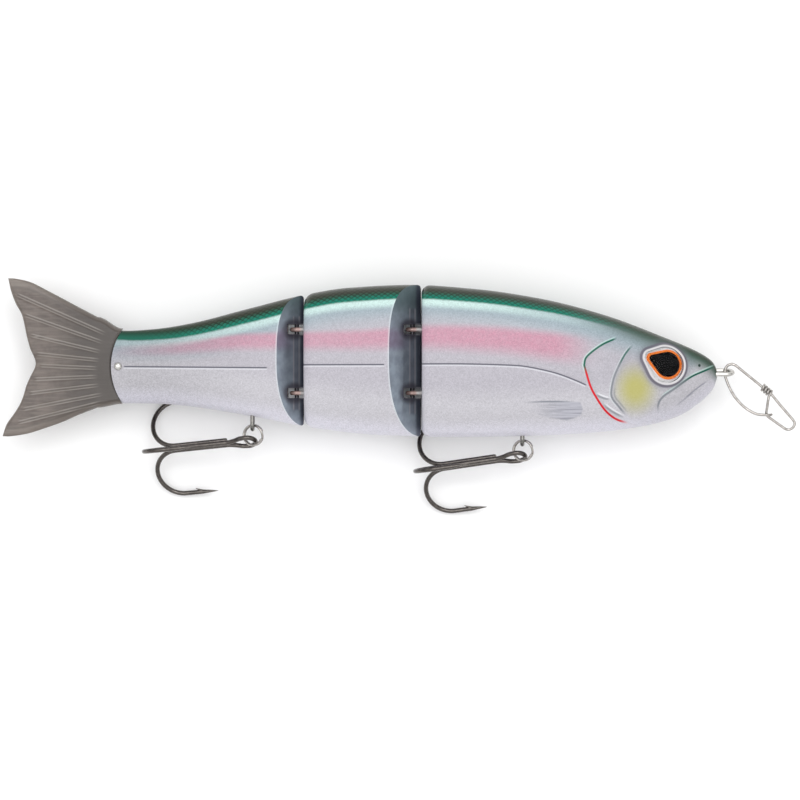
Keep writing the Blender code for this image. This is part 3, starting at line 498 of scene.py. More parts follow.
def body_paint(section):
    """Pearl flanks with a pink stripe, a dark green back with a diamond pattern, and drawn lines."""
    look = Look(f"paint_{section}", Metallic=0.02, Roughness=0.36, Coat_Weight=0.2, Coat_Roughness=0.12,
                Coat_IOR=1.3, Specular_IOR_Level=0.12)
    x = look.axis("X")
    high, low, stripe = look.attr("below_edge"), look.attr("above_belly"), look.attr("stripe")
    grain, cloud, fine = look.flakes(3.4), look.noise(1.1, 3.0, 0.6), look.noise(4.2, 2.0, 0.7)
    # the flank: pearl, paler to the belly, with the stripe and a painted highlight band under the back
    look.colour = look.mix(look.ramp(high, 1.6, 8.0), (156, 171, 179), (179, 176, 184))
    look.cover(look.ramp(low, 15.0, 8.0), (194, 192, 198))
    look.cover(look.ramp(low, 5.5, 0.6), (215, 213, 224))
    pink = look.ramp(stripe, 1.15, 0.45) * look.ramp(stripe, -1.35, -0.1) * look.attr("stripe_strength")
    look.cover(pink * look.ramp(cloud, 0.25, 0.75, 0.84, 1.0), (195, 138, 158))
    # a painted highlight band just under the dark back
    look.cover(look.ramp(high, 2.9, 0.9) * look.attr("highlight_band"), (204, 230, 225))
    # its brightness varies from flake to flake, and painted shade darkens it towards the tail and the nose
    dust = (grain - 0.5) * 0.16 + (fine - 0.5) * 0.6
    shade = look.ramp(x, -32.0, -70.0) * 0.2 + look.ramp(x, 50.0, 74.0) * 0.15
    bright = dust + 0.945 - shade
    grey = look.add("CombineColor", {0: bright, 1: bright, 2: bright})
    look.colour = look.mix(1.0, look.colour, grey, "MULTIPLY")
    if section != "head":
        # a painted highlight along the edge of the V
        look.cover(look.ramp(look.attr("v_gap"), 0.45, 0.1) * 0.4, (216, 228, 232))
    # the back: teal at its lower edge, olive black above, crossed by thin dark lines
    wrap, to_tail = look.attr("wrap"), look.attr("to_tail")
    pitch, slope = 1.6, 0.8
    lines = [look.ramp(look.math("PINGPONG", slant + 400.0, pitch / 2), 0.3, 0.06)
             for slant in (x + wrap * slope, x - wrap * slope)]
    crossing = look.math("MAXIMUM", *lines)
    dark = look.mix(look.ramp(high, -2.5, -0.3), (42, 45, 32), (12, 124, 104))
    dark = look.mix(to_tail * 0.6, dark, (18, 62, 50))
    dark = look.mix(crossing * look.ramp(high, -0.4, -1.6, 0.5, 0.95) * (1.0 - to_tail), dark, (14, 20, 14))
    dark = look.mix(fine * 0.16, dark, (84, 98, 78))
    edge = high + (cloud - 0.5) * 0.3
    back = look.ramp(edge, 0.45, -0.25)
    if section == "head":
        forward = look.ramp(x, 42.0, 66.0)
        look.cover(look.ramp(edge, 3.8, -0.8) * forward * 0.85, (78, 98, 88))
        dark = look.mix(forward * 0.85, dark, (50, 60, 48))
        back = back * (1.0 - forward) + look.ramp(edge, 0.9, -1.6) * forward
    look.cover(back, dark)
    # the lateral line: a thin dark groove with a painted highlight on the lip under it
    look.draw("lateral", 0.12, 0.14, (232, 234, 240), 0.35, fade=0.015, shift=-0.4)
    look.draw("lateral", 0.13, 0.12, (98, 98, 108), fade=0.015)
    if section == "head":
        head_marks(look)
    seam = look.ramp(abs(look.axis("Z") - HALF_WIDTH), 0.16, 0.05)
    look.cover(seam * 0.45, (70, 76, 76))
    height = fine * 0.25 + grain * 0.15 - crossing * back * 0.8 - seam * 1.2
    return look.finish(look.ramp(cloud, 0.2, 0.8, 0.28, 0.4), height, 0.35, 0.06)


def head_marks(look):
    """The cheek, gill covers, mouth, fin and eye rim drawn on the head."""
    gap = look.attr("eye_gap")
    cheek = look.ramp(look.distance(CHEEK), 7.6, 1.0) * look.ramp(gap, 0.9, 2.4)
    look.cover(cheek * look.ramp(look.attr("preopercle"), 0.0, 0.9) * 0.8, (176, 171, 78))
    # shading of the cheek just ahead of the gill covers
    for name, reach, tone in (("preopercle", 1.9, 0.3), ("opercle", 1.7, 0.18)):
        away, along = look.attr(name), look.attr(name + "_along")
        shade = look.ramp(away, reach, 0.1) * look.ramp(away, -0.05, 0.1)
        ends = look.ramp(along, 0.0, 0.12) * look.ramp(along, 1.0, 0.75)
        look.cover(shade * ends * tone, (128, 134, 140))
    grey, pale = (120, 124, 130), (196, 236, 226)
    # each gill crease is a grey line with a painted highlight beside it
    for k in range(len(GILL_RAYS)):
        look.draw(f"gill_ray_{k}", 0.14, 0.3, grey, 0.7, fade=0.3)
        look.draw(f"gill_ray_{k}", 0.1, 0.25, (240, 242, 246), 0.5, fade=0.3, shift=0.5)
    # the pale lines beside the gill covers and the mouth are painted highlights
    look.draw("opercle", 0.12, 0.15, pale, 0.4, end=0.45, shift=-0.38)
    look.draw("opercle", 0.16, 0.18, (30, 92, 76), end=0.5)
    look.draw("opercle", 0.2, 0.16, (203, 34, 44), start=0.37, end=1.02, fade=0.09)
    look.draw("preopercle", 0.1, 0.18, (222, 236, 236), 0.25, end=0.9, fade=0.12, shift=-0.4)
    look.draw("preopercle", 0.16, 0.16, (70, 104, 98), end=0.35, fade=0.1)
    look.draw("preopercle", 0.16, 0.2, grey, 0.85, start=0.2, fade=0.12)
    look.draw("preopercle", 0.1, 0.2, grey, 0.5, start=0.55, fade=0.12, shift=0.85)
    look.draw("mouth", 0.12, 0.16, pale, 0.35, end=0.8, fade=0.1, shift=-0.42)
    look.draw("mouth", 0.15, 0.18, (24, 84, 70), end=0.62, fade=0.15)
    look.draw("mouth", 0.18, 0.2, (112, 118, 124), 0.8, start=0.35, fade=0.15)
    for k in range(len(JAW)):
        look.draw(f"jaw_{k}", 0.09, 0.2, (128, 130, 140), 0.75 - 0.25 * k, fade=0.3)
    # the pectoral fin: grey, streaked along its rays
    streak = look.ramp(look.noise(1.0, 2.0, 0.6, stretch=(0.12, 3.2, 0.12)), 0.38, 0.6)
    inside = look.ramp(look.attr("fin"), 0.25, -0.35) * look.attr("fin_strength")
    look.cover(inside * 0.9, look.mix(streak, (138, 139, 149), (180, 180, 190)))
    look.draw("fin_top", 0.12, 0.2, (118, 122, 130), 0.8, fade=0.4)
    # round the eye: a soft painted shade, painted shade in the grey groove and a silver rim
    look.cover(look.ramp(gap, 3.2, 1.2) * look.ramp(gap, 0.5, 0.9) * 0.3, (120, 122, 128))
    look.cover(look.ramp(gap, 1.5, 1.0) * look.ramp(gap, 0.4, 0.75) * 0.95, (104, 101, 112))
    look.cover(look.ramp(gap, 0.7, 0.42), (205, 203, 205))
    look.cover(look.ramp(look.distance(NOSTRIL), 0.5, 0.2), (40, 60, 54))


def smoke_plastic(name, shade=1.0, clear=0.1, edge_highlight=0.5):
    """Smoky clear plastic: the hinge pin is painted on it with painted highlights along its edges, painted
    shade lies round the pin and the wire eyes, and painted highlights run along the slot edges.
    """
    look = Look(name, Roughness=0.2, IOR=1.4, Transmission_Weight=clear, Coat_Weight=0.25,
                Coat_Roughness=0.12)
    x, y = look.axis("X"), look.axis("Y")
    dull, light = (tuple(c * shade for c in tone) for tone in ((137, 145, 157), (158, 169, 182)))
    look.colour = look.mix(look.ramp(look.noise(0.3, 3.0, 0.55), 0.3, 0.7), dull, light)
    look.cover(look.ramp(y, 18.5, 26.0) * 0.75, (72, 92, 92))
    blush = look.ramp(y, 11.5, 14.0) * look.ramp(y, 19.0, 16.5)
    for pin_x, (foot, top) in ((FRONT_PIN_X, FRONT_PIN_Y), (REAR_PIN_X, REAR_PIN_Y)):
        away = x - pin_x
        here = look.ramp(away, -20.0, -18.0) * look.ramp(away, 4.0, 3.0)
        # painted shade on the plastic between the pin and the section ahead
        look.cover(look.ramp(away, 0.5, 1.5) * here * 0.8, (62, 64, 80))
        look.cover(blush * look.ramp(away, 0.8, -4.0) * here * 0.5, (126, 92, 124))
        # the pin, painted on: a dark core between two painted highlights
        ends = look.ramp(y, foot - 0.4, foot + 0.6) * look.ramp(y, top + 0.4, top - 0.6)
        look.cover(look.ramp(abs(away), 0.8, 0.5) * ends * 0.4, (98, 94, 108))
        bar = look.ramp(abs(abs(away) - (PIN_R + 0.1)), 0.28, 0.06) * ends
        look.cover(bar * (0.6 * shade), (186, 183, 190))
        # painted shade round each wire eye, and a painted highlight along its slot's edges
        for lug in LUG_Y:
            tall = y - lug
            spread = look.math("SQRT", (away + 0.6) ** 2.0 + tall ** 2.0)
            look.cover(look.ramp(spread, 3.6, 1.9) * 0.75, (66, 58, 68))
            slot_edge_highlight = look.ramp(abs(tall) - SLOT_HALF, 0.4, 0.15) * look.ramp(away, 0.6, 1.2)
            look.cover(slot_edge_highlight * look.ramp(away, 2.42, 2.32) * edge_highlight, (206, 206, 212))
    return look.finish(look.ramp(look.noise(1.4), 0.3, 0.7, 0.16, 0.26), look.noise(0.7), 0.08, 0.1)


def metal(name, base, light, roughness, drawn=(1, 1, 1)):
    """A polished or plated wire: slightly uneven tone, fine drawing marks and smudged gloss."""
    look = Look(name, Metallic=1.0)
    look.colour = look.mix(look.ramp(look.noise(1.2, 3.0, 0.6, stretch=drawn), 0.3, 0.7), base, light)
    gloss = look.ramp(look.noise(0.6), 0.25, 0.75, roughness * 0.75, roughness * 1.35)
    return look.finish(gloss, look.noise(5.0, 2.0, 0.6, stretch=drawn), 0.04, 0.02)


def pink_tipped_wire():
    """Bright wire with a warm pinkish tone where it turns round the pin."""
    look = Look("pink_tipped_eye_wire", Metallic=0.2, Roughness=0.45)
    x, tone = look.axis("X"), look.noise(1.6, 3.0, 0.6)
    look.colour = look.mix(look.ramp(tone, 0.3, 0.7), (176, 172, 172), (208, 204, 202))
    for pin_x in (FRONT_PIN_X, REAR_PIN_X):
        look.cover(look.ramp(abs(x - pin_x + 0.5), 2.0, 1.1) * 0.9, (226, 190, 182))
    return look.finish(look.ramp(tone, 0.25, 0.75, 0.28, 0.44), look.noise(5.0), 0.05, 0.02)


def cast_lead():
    """Dull grey metal with a grainy skin."""
    look = Look("cast_lead", Metallic=0.85)
    grain = look.noise(1.4, 6.0, 0.7)
    look.colour = look.mix(look.ramp(grain, 0.3, 0.75), (92, 94, 100), (150, 152, 158))
    return look.finish(look.ramp(grain, 0.2, 0.8, 0.42, 0.68), grain, 0.5, 0.15)


def soft_tail():
    """Soft smoky plastic with pale rays, a painted shadow of the body at its root and a pale rim."""
    look = Look("soft_tail_smoke", Roughness=0.38, IOR=1.42, Transmission_Weight=0.3, Coat_Weight=0.35,
                Coat_Roughness=0.22)
    gap, on, rim = look.attr("ray_gap"), look.attr("ray_on"), look.attr("rim")
    speck = look.noise(3.2, 2.0, 0.6)
    grain = look.noise(1.0, 3.0, 0.6, stretch=(0.12, 1.6, 0.2))
    look.colour = look.mix(look.ramp(look.noise(0.32, 4.0, 0.6), 0.3, 0.7), (90, 79, 73), (112, 100, 93))
    look.cover(look.ramp(grain, 0.42, 0.68) * 0.35, (150, 139, 130))
    # painted shadow cast by the body's edge across the tail's root
    look.cover(look.ramp(look.attr("root"), 0.7, 0.0) * 0.85, (62, 55, 50))
    look.cover(look.ramp(abs(gap - 0.36), 0.24, 0.06) * on * 0.6, (172, 165, 158))
    look.cover(look.ramp(gap, 0.26, 0.06) * on * 0.5, (82, 73, 68))
    look.cover(look.ramp(rim, 1.7, 0.7) * 0.35, (160, 151, 143))
    look.cover(look.ramp(abs(rim - 1.15), 0.3, 0.08) * 0.4, (84, 76, 70))
    look.cover(speck * 0.16, (84, 76, 70))
    return look.finish(look.ramp(speck, 0.3, 0.7, 0.32, 0.46), speck, 0.2, 0.06)


def eye_print():
    """Silver foil with an orange ring and a black pupil."""
    look = Look("eye_print", Metallic=0.0, Specular_IOR_Level=0.05)
    flake, fine = look.flakes(7.0), look.noise(5.0)
    look.colour = look.mix(flake, (206, 204, 206), (224, 222, 222))
    orange = look.mix(look.ramp(fine, 0.3, 0.7), (226, 104, 34), (238, 136, 62))
    look.cover(look.ramp(look.attr("orange"), 0.06, -0.06), orange)
    black = look.mix(look.ramp(fine, 0.2, 0.8), (6, 6, 8), (14, 14, 16))
    look.cover(look.ramp(look.attr("pupil"), 0.08, -0.08), black)
    return look.finish(look.ramp(flake, 0.0, 1.0, 0.22, 0.4), flake, 0.15, 0.03)


def clear_lens():
    """Clear hard plastic with a trace of haze."""
    look = Look("clear_lens", Roughness=0.02, IOR=1.12, Transmission_Weight=1.0)
    haze = look.noise(0.8)
    look.colour = look.mix(look.ramp(haze, 0.3, 0.7), (0.97, 0.97, 0.97, 1), (1, 1, 1, 1))
    return look.finish(look.ramp(haze, 0.3, 0.7, 0.01, 0.04))


DRAWN = (0.4, 3, 3)
SMOKE = smoke_plastic("smoke_plastic_clear")
# a darker copy of the plastic for the slot walls: painted shade inside the slots
SLOT = smoke_plastic("smoke_plastic_slot_shaded", shade=0.25, clear=0.0, edge_highlight=0.0)
STEEL = metal("bright_steel", (188, 186, 182), (222, 220, 216), 0.2, DRAWN)
PIN_STEEL = metal("dull_pin_steel", (88, 86, 90), (112, 110, 114), 0.42)
DARK_STEEL = metal("dark_steel_wire", (112, 110, 108), (146, 144, 140), 0.16, DRAWN)
PINK_TIPPED_STEEL = pink_tipped_wire()
NICKEL = metal("nickel_wire", (150, 146, 142), (186, 182, 178), 0.14)
BLACK_NICKEL = metal("black_nickel_hook", (84, 80, 78), (106, 101, 97), 0.09)
LEAD = cast_lead()


def dress(obj, material, body, nodes=()):
    """Gives a finished piece its material and the body it rides, and hides the CAD nodes it stands for."""
    if material is not None:
        obj.data.materials.clear()
        obj.data.materials.append(material)
    if body:
        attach(obj, body)
    if nodes:
        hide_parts(*nodes)
    return obj


# ---------------------------------------------------------------- the three body sections
def eye_axes(side):
    """The middle of the eye on the flank, and the directions ahead, up and outwards there."""
    def height(px, py):
        top, low = float(back_y(px)), float(belly_y(px))
        middle, half = (top + low) / 2, (top - low) / 2
        t = min(abs(py - middle) / half, 0.98)
        power = BACK_FULLNESS if py > middle else BELLY_FULLNESS
        return float(flank_z(px)) * (1 - t ** power) ** (1 / power)

    x, y = EYE_CENTRE
    step = 0.6
    slope_x = (height(x + step, y) - height(x - step, y)) / (2 * step)
    slope_y = (height(x, y + step) - height(x, y - step)) / (2 * step)
    flip = Vector((1, 1, side))
    outward = Vector((-slope_x, -slope_y, 1)).normalized() * flip
    point = Vector((x, y, height(x, y))) * flip
    across = (Vector((1, 0, 0)) - outward * outward.x).normalized()
    up = outward.cross(across) * side
    return point, across, up, outward


EYE_OUTLINE = egg_outline(EYE_R, 1.6, EYE_TIP - 0.15, EYE_TIP_ANGLE)


def eye_gap(points):
    """Distance outside the eye's socket, measured square to the flank on each side."""
    gap = np.full(points.shape[:-1], 99.0)
    for side in (1, -1):
        point, across, up, _ = eye_axes(side)
        rel = points - np.array(point)
        u, v = rel @ np.array(across), rel @ np.array(up)
        here = (points[..., 2] * side > 0) & (np.abs(points[..., 0] - EYE_CENTRE[0]) < 13)
        field = convex_field(u[here], v[here], EYE_OUTLINE)
        away = np.abs(line_field(u[here], v[here], EYE_OUTLINE + EYE_OUTLINE[:1], 1)[0])
        gap[here] = np.where(field > 0, away, field) - 0.12
    return gap


def groove(field, along, depth, width, fade=0.06):
    """A groove along a line, which fades out at both ends."""
    ends = smoothstep(0, fade, along) * smoothstep(1.0, 1.0 - fade, along)
    return -depth * np.exp(-(field / width) ** 2) * ends


def plate(field, along, rise, slope, fade):
    """A plate with its edge on a line, which falls away gently where the field is positive."""
    ends = smoothstep(fade[0], fade[1], along) * smoothstep(1.0, fade[2], along)
    edge_width = 0.3
    return rise * ends * np.where(field > 0, np.exp(-field / slope), np.exp(-(field / edge_width) ** 2))


# a line of the head, its groove's depth, width and fade, and its plate's side, height, slope and fade
PLATES = [(OPERCLE, (0.2, 0.34), 1, (0.2, 2.6, (0, 0.12, 0.85))),
          (PREOPERCLE, (0.18, 0.34, 0.1), 1, (0.13, 2.2, (0, 0.15, 0.8))),
          (MOUTH, (0.24, 0.36, 0.08), -1, (0.14, 1.8, (0.02, 0.2, 0.8)))]
CREASES = [(line, (0.1, 0.35, 0.3)) for line in GILL_RAYS] + [(line, (0.09, 0.3, 0.3)) for line in JAW]


def relief(points, section):
    """How far the painted skin stands above the plain body, from its grooves and plates."""
    x, y = points[..., 0], points[..., 1]
    flank = smoothstep(0.5, 2.0, np.abs(points[..., 2]))
    height = groove(*line_field(x, y, LATERAL[section]), 0.15, 0.3, 0.02)
    if section != "head":
        return height * flank
    for line, cut, side, raised in PLATES:
        field, along = line_field(x, y, line)
        height += groove(field, along, *cut) + plate(side * field, along, *raised)
    for line, cut in CREASES:
        height += groove(*line_field(x, y, line), *cut)
    fin = convex_field(x, y, list(reversed(FIN_EDGE)))
    rays = 0.5 + 0.5 * np.cos((y + 1.3 + 0.1 * (48 - x)) * 6.5)
    height += smoothstep(0.1, -0.4, fin) * smoothstep(32, 45, x) * (0.14 + 0.07 * rays)
    gap = eye_gap(points)
    height += 0.3 * np.exp(-((gap - 0.28) / 0.4) ** 2) - 0.22 * np.exp(-((gap - 1.15) / 0.38) ** 2)
    height -= 0.25 * np.exp(-(((x - NOSTRIL[0]) / 0.35) ** 2 + ((y - NOSTRIL[1]) / 0.25) ** 2))
    return height * flank


def skin(name, section, stations, half_count):
    """The closed skin of one section of the body. stations holds (x, shrink) pairs."""
    turn = np.linspace(0, math.pi, 721)
    rings = []
    for x, shrink in stations:
        top, low = float(back_y(x)) - shrink, float(belly_y(x)) + shrink
        width = float(flank_z(x)) - 0.5 * shrink
        power = np.where(turn < math.pi / 2, 2 / BACK_FULLNESS, 2 / BELLY_FULLNESS)
        up = np.sign(np.cos(turn)) * np.abs(np.cos(turn)) ** power
        out = np.abs(np.sin(turn)) ** power
        y, z = (top + low) / 2 + (top - low) / 2 * up, width * out
        along = np.concatenate([[0], np.cumsum(np.hypot(np.diff(y), np.diff(z)))])
        want = np.linspace(0, along[-1], half_count + 1)
        y, z = np.interp(want, along, y), np.interp(want, along, z)
        z[0] = z[-1] = 0.0
        half = np.stack([np.full_like(y, x), y, z], axis=1)
        other = half[1:-1][::-1] * (1, 1, -1)
        rings.append(np.concatenate([half, other]))
    grid = np.array(rings)
    round_way = np.roll(grid, -1, axis=1) - np.roll(grid, 1, axis=1)
    long_way = np.gradient(grid, axis=0)
    normal = np.cross(long_way, round_way)
    normal /= np.linalg.norm(normal, axis=2)[..., None] + 1e-12
    middle = (grid.max(axis=1) + grid.min(axis=1)) / 2
    outwards = ((grid - middle[:, None]) * normal)[..., 1:].sum(axis=2)
    normal *= np.where(outwards < 0, -1.0, 1.0)[..., None]
    solid = np.array([s == 0 for _, s in stations])
    rise = relief(grid, section)
    rise[~solid] *= 0.6
    grid = grid + normal * rise[..., None]
    return mesh_object(name, grid.reshape(-1, 3), tube_faces(len(stations), grid.shape[1]))


def rounded(start, end, start_r, end_r, step, finer=None):
    """(x, shrink) stations of a section with rounded ends. finer is a place and the step after it."""
    def cap(edge, radius):
        turns = [math.radians(7.5 * k) for k in range(13)] if radius else [math.pi / 2]
        size = abs(radius)
        made = [(edge + radius * (1 - math.cos(a)), size * (1 - math.sin(a))) for a in turns]
        return [(x, 0.0 if shrink < 1e-9 else shrink) for x, shrink in made]

    between, x = [], start + start_r + step
    while x < end - end_r - step / 2:
        between.append((x, 0.0))
        x += finer[1] if finer and x > finer[0] else step
    return cap(start, start_r) + between + cap(end, -end_r)[::-1]


def v_outline(pin_x, tip_r):
    """The V of a section's front end with its round tip, and room for the section behind it."""
    reach = 24.0
    arc = [V_ANGLE * k / 16 for k in range(-16, 17)]
    outline = [(pin_x + tip_r * math.cos(a), tip_r * math.sin(a)) for a in arc]
    x = pin_x + tip_r * math.cos(V_ANGLE) - reach * math.sin(V_ANGLE)
    z = tip_r * math.sin(V_ANGLE) + reach * math.cos(V_ANGLE)
    return outline + [(x, z), (pin_x - 80, z), (pin_x - 80, -z), (x, -z)]


def joint_cuts(label, pin_x, tip_r):
    """The V end of a section and the two slots for the wire eyes."""
    cuts = [(prism_object(f"{label}_v", v_outline(pin_x, tip_r), -30, 45, "XZ"), "INTERSECT")]
    for name, y in zip(("upper", "lower"), LUG_Y):
        low, high = (pin_x - SLOT_BACK, y - SLOT_HALF, -16), (pin_x + 5, y + SLOT_HALF, 16)
        cuts.append((box_object(f"{label}_{name}_slot", low, high), "DIFFERENCE"))
    return cuts


DARK_DEPTH = curve_through([(-79, 2.2), (-73, 2.5), (-55, 3.4), (-34, 4.0), (0, 3.9), (8, 3.85), (32, 3.6),
                            (49, 3.1), (64, 2.6), (75, 2.4), (81, 2.5), (84.5, 2.6)])
STRIPE_MIDDLE = curve_through([(-79, 12.0), (-62, 12.7), (-40, 14.6), (-12, 14.9), (8, 15.7), (25, 15.0),
                               (38, 13.6), (47, 12.4), (55, 11.5)])
STRIPE_HALF = curve_through([(-79, 1.6), (-62, 2.0), (-40, 2.5), (-12, 3.0), (8, 3.6), (30, 4.0), (46, 4.3),
                             (55, 4.3)])
STRIPE_STRENGTH = curve_through([(-79, 0.0), (-72, 0.25), (-55, 0.65), (-40, 0.8), (-26, 0.75), (-10, 0.8),
                                 (8, 0.85), (25, 0.9), (40, 0.9), (46, 0.5), (51, 0.08), (54, 0.0)])
# how strong the painted highlight band under the back is along the body
HIGHLIGHT_BAND = curve_through([(-79, 0.15), (-60, 0.35), (-30, 0.75), (5, 0.95), (20, 0.85), (35, 0.5), (50, 0.15),
                       (60, 0.0), (84, 0.0)])


def paint_fields(obj, section):
    """The numbers that the paint reads at each point of a section's skin."""
    points = own_points(obj)
    x, y, z = points.T
    top = back_y(x)
    give(obj, "below_edge", top - y - DARK_DEPTH(x))
    give(obj, "above_belly", y - belly_y(x))
    give(obj, "wrap", (top - y) + np.abs(z))
    give(obj, "stripe", (y - STRIPE_MIDDLE(x)) / STRIPE_HALF(x))
    give(obj, "stripe_strength", STRIPE_STRENGTH(x))
    give(obj, "highlight_band", HIGHLIGHT_BAND(x))
    give(obj, "to_tail", 1 - smoothstep(-74, -44, x))
    if section != "head":
        pin_x, tip_r = (FRONT_PIN_X, FRONT_TIP_R) if section == "mid" else (REAR_PIN_X, REAR_TIP_R)
        give(obj, "v_gap", tip_r - (math.cos(V_ANGLE) * (x - pin_x) + math.sin(V_ANGLE) * np.abs(z)))
    lines = {"lateral": LATERAL[section]}
    if section == "head":
        lines.update(opercle=OPERCLE, preopercle=PREOPERCLE, mouth=MOUTH, fin_top=FIN_TOP)
        lines.update({f"gill_ray_{k}": line for k, line in enumerate(GILL_RAYS)})
        lines.update({f"jaw_{k}": line for k, line in enumerate(JAW)})
        give(obj, "eye_gap", eye_gap(points))
        give(obj, "fin", convex_field(x, y, list(reversed(FIN_EDGE))))
        give(obj, "fin_strength", smoothstep(33, 45, x))
    for name, line in lines.items():
        field, along = line_field(x, y, line)
        give(obj, name, field)
        give(obj, name + "_along", along)


def drop_solid(outline, levels, point, across, up, outward):
    """Rings of one outline at (size, height) levels, as points and faces."""
    flat = np.array(outline)
    rings = [np.array(point) + np.outer(flat[:, 0] * s, across) + np.outer(flat[:, 1] * s, up)
             + np.array(outward) * h for s, h in levels]
    return np.concatenate(rings), tube_faces(len(levels), len(outline))


def build_section(section, body, stations, half_count, cuts):
    """One section: its skin, cut, with its materials and the numbers that the paint reads."""
    obj = skin(f"{section}_skin", section, stations, half_count)
    obj.data.materials.append(body_paint(section))
    obj.data.materials.append(SMOKE)
    apply_cuts(obj, cuts)
    paint_fields(obj, section)
    dress(obj, None, body, [f"{section}_shell_right", f"{section}_shell_left"])
    # the flat rear end is bare plastic, as the cut V ends are
    flat_end = stations[0][0]
    bare = [m.name for m in obj.data.materials if m].index(SMOKE.name)
    for face in obj.data.polygons:
        if section != "rear" and face.normal.x < -0.995 and abs(face.center.x / MM - flat_end) < 0.05:
            face.material_index = bare


def build_body():
    front_face, rear_face = FRONT_PIN_X + FRONT_TIP_R, REAR_PIN_X + REAR_TIP_R
    snout, snout_long, snout_steps = 84.5, 4.6, 22
    stations = rounded(front_face + JOINT_GAP, 80.0, start_r=2.3, end_r=0.0, step=0.62, finer=(44.0, 0.34))
    stations = [s for s in stations if s[0] < snout - snout_long]
    stations += [(snout - snout_long * (1 - k / snout_steps) ** 1.7, 0.0) for k in range(snout_steps + 1)]
    socket = egg_outline(EYE_R + 0.12, 1.72, EYE_TIP - 0.03, EYE_TIP_ANGLE)
    cuts = []
    for label, side in (("right", 1), ("left", -1)):
        part = drop_solid(socket, [(1, -EYE_DEPTH), (1, 4.0)], *eye_axes(side))
        cuts.append((mesh_object(f"eye_cut_{label}", *part), "DIFFERENCE"))
    build_section("head", "head", stations, 150, cuts)
    stations = rounded(rear_face + JOINT_GAP, front_face, start_r=2.4, end_r=1.0, step=0.5)
    build_section("mid", "mid_section", stations, 110, joint_cuts("front", FRONT_PIN_X, FRONT_TIP_R))
    spread = math.radians(36)
    turns = [-spread + 2 * spread * k / 48 for k in range(49)]
    socket = [(TAIL_EDGE_X + TAIL_EDGE_R * (1 - math.cos(a)), TAIL_EDGE_Y + TAIL_EDGE_R * math.sin(a))
              for a in turns]
    cuts = joint_cuts("rear", REAR_PIN_X, REAR_TIP_R)
    cuts.append((prism_object("rear_end_cut", socket + [(-90, 25), (-90, -10)], -10, 10), "DIFFERENCE"))
    stations = rounded(-79, rear_face, start_r=0.0, end_r=1.0, step=0.5)
    build_section("rear", "rear_section", stations, 100, cuts)


# ---------------------------------------------------------------- eyes
PUPIL = egg_outline(3.3, 0.9, 5.3, math.radians(160), (0.72, 0.2))
ORANGE = egg_outline(3.92, 1.35, 6.15, math.radians(160), (0.72, 0.15))


def build_eyes():
    foil_look, lens_look = eye_print(), clear_lens()
    for label, side in (("right", 1), ("left", -1)):
        axes = eye_axes(side)
        floor, top = -EYE_DEPTH + 0.05, -EYE_DEPTH + 0.45
        inset, hollow = 0.985, 0.12
        levels = [(1, floor), (1, top - 0.08), (inset, top)]
        levels += [(inset * (1 - k / 26), top - hollow * k / 26) for k in range(1, 26)]
        levels.append((0.01, top - hollow))
        foil = mesh_object(f"eye_{label}_print", *drop_solid(EYE_OUTLINE, levels, *axes))
        rel = own_points(foil) - np.array(axes[0])
        u, v = rel @ np.array(axes[1]), rel @ np.array(axes[2])
        give(foil, "pupil", convex_field(u, v, PUPIL))
        give(foil, "orange", convex_field(u, v, ORANGE))
        dress(foil, foil_look, "head", [f"eye_foil_{label}"])
        base = top + 0.05
        levels = [(0.99, base), (1, base + 0.06), (1, base + 0.45)]
        for k in range(1, 25):
            a = math.pi / 2 * k / 24
            levels.append((max(math.cos(a) ** 0.8, 0.012), base + 0.45 + 1.25 * math.sin(a)))
        lens = mesh_object(f"eye_{label}_dome", *drop_solid(EYE_OUTLINE, levels, *axes))
        dress(lens, lens_look, "head", [f"eye_lens_{label}"])


# ---------------------------------------------------------------- wires
def bent(corners, radii, steps=6):
    """Points along a wire bent at each inner corner with that bend radius."""
    points = [Vector(corners[0])]
    for i in range(1, len(corners) - 1):
        before, here, after = (Vector(corners[k]) for k in (i - 1, i, i + 1))
        back, ahead = (before - here).normalized(), (after - here).normalized()
        half = back.angle(ahead) / 2
        radius = radii[i - 1]
        centre = here + (back + ahead).normalized() * radius / math.sin(half)
        first = here + back * radius / math.tan(half)
        last = here + ahead * radius / math.tan(half)
        for k in range(steps + 1):
            points.append(centre + (first - centre).slerp(last - centre, k / steps))
    points.append(Vector(corners[-1]))
    return points


def u_wire(bow, start, end, half, foot, bend, place):
    """A U of wire: two legs with bent feet and the bow between. place puts (along, across) in space."""
    def leg(side):
        corners = [place(end, side * (half + foot)), place(end, side * half), place(start, side * half)]
        return bent(corners, [bend], 8)

    return leg(1) + bow + leg(-1)[::-1]


def lug_path(pin_x, y):
    """A wire eye: it turns round the pin, and its legs run forward into the section ahead."""
    turns = [math.radians(a) for a in range(75, 286, 6)]
    loop = [Vector((pin_x + EYE_LOOP_R * math.cos(a), y, EYE_LOOP_R * math.sin(a))) for a in turns]
    start, end = pin_x + 1.2, pin_x + 9.2
    return u_wire(loop, start, end, EYE_LOOP_R, 1.6, 0.8, lambda ahead, side: (ahead, y, side))


def hanger_path(x, bow_y):
    """A hook hanger: its bow hangs out of the belly, and its legs run up into the body."""
    turns = [math.radians(180 + 7.5 * k) for k in range(25)]
    middle = bow_y + HANGER_HALF
    bow = [Vector((x, middle + HANGER_HALF * math.sin(a), HANGER_HALF * math.cos(a))) for a in turns]
    return u_wire(bow, middle + 0.5, bow_y + 8.2, HANGER_HALF, 1.8, 0.9, lambda up, side: (x, up, -side))


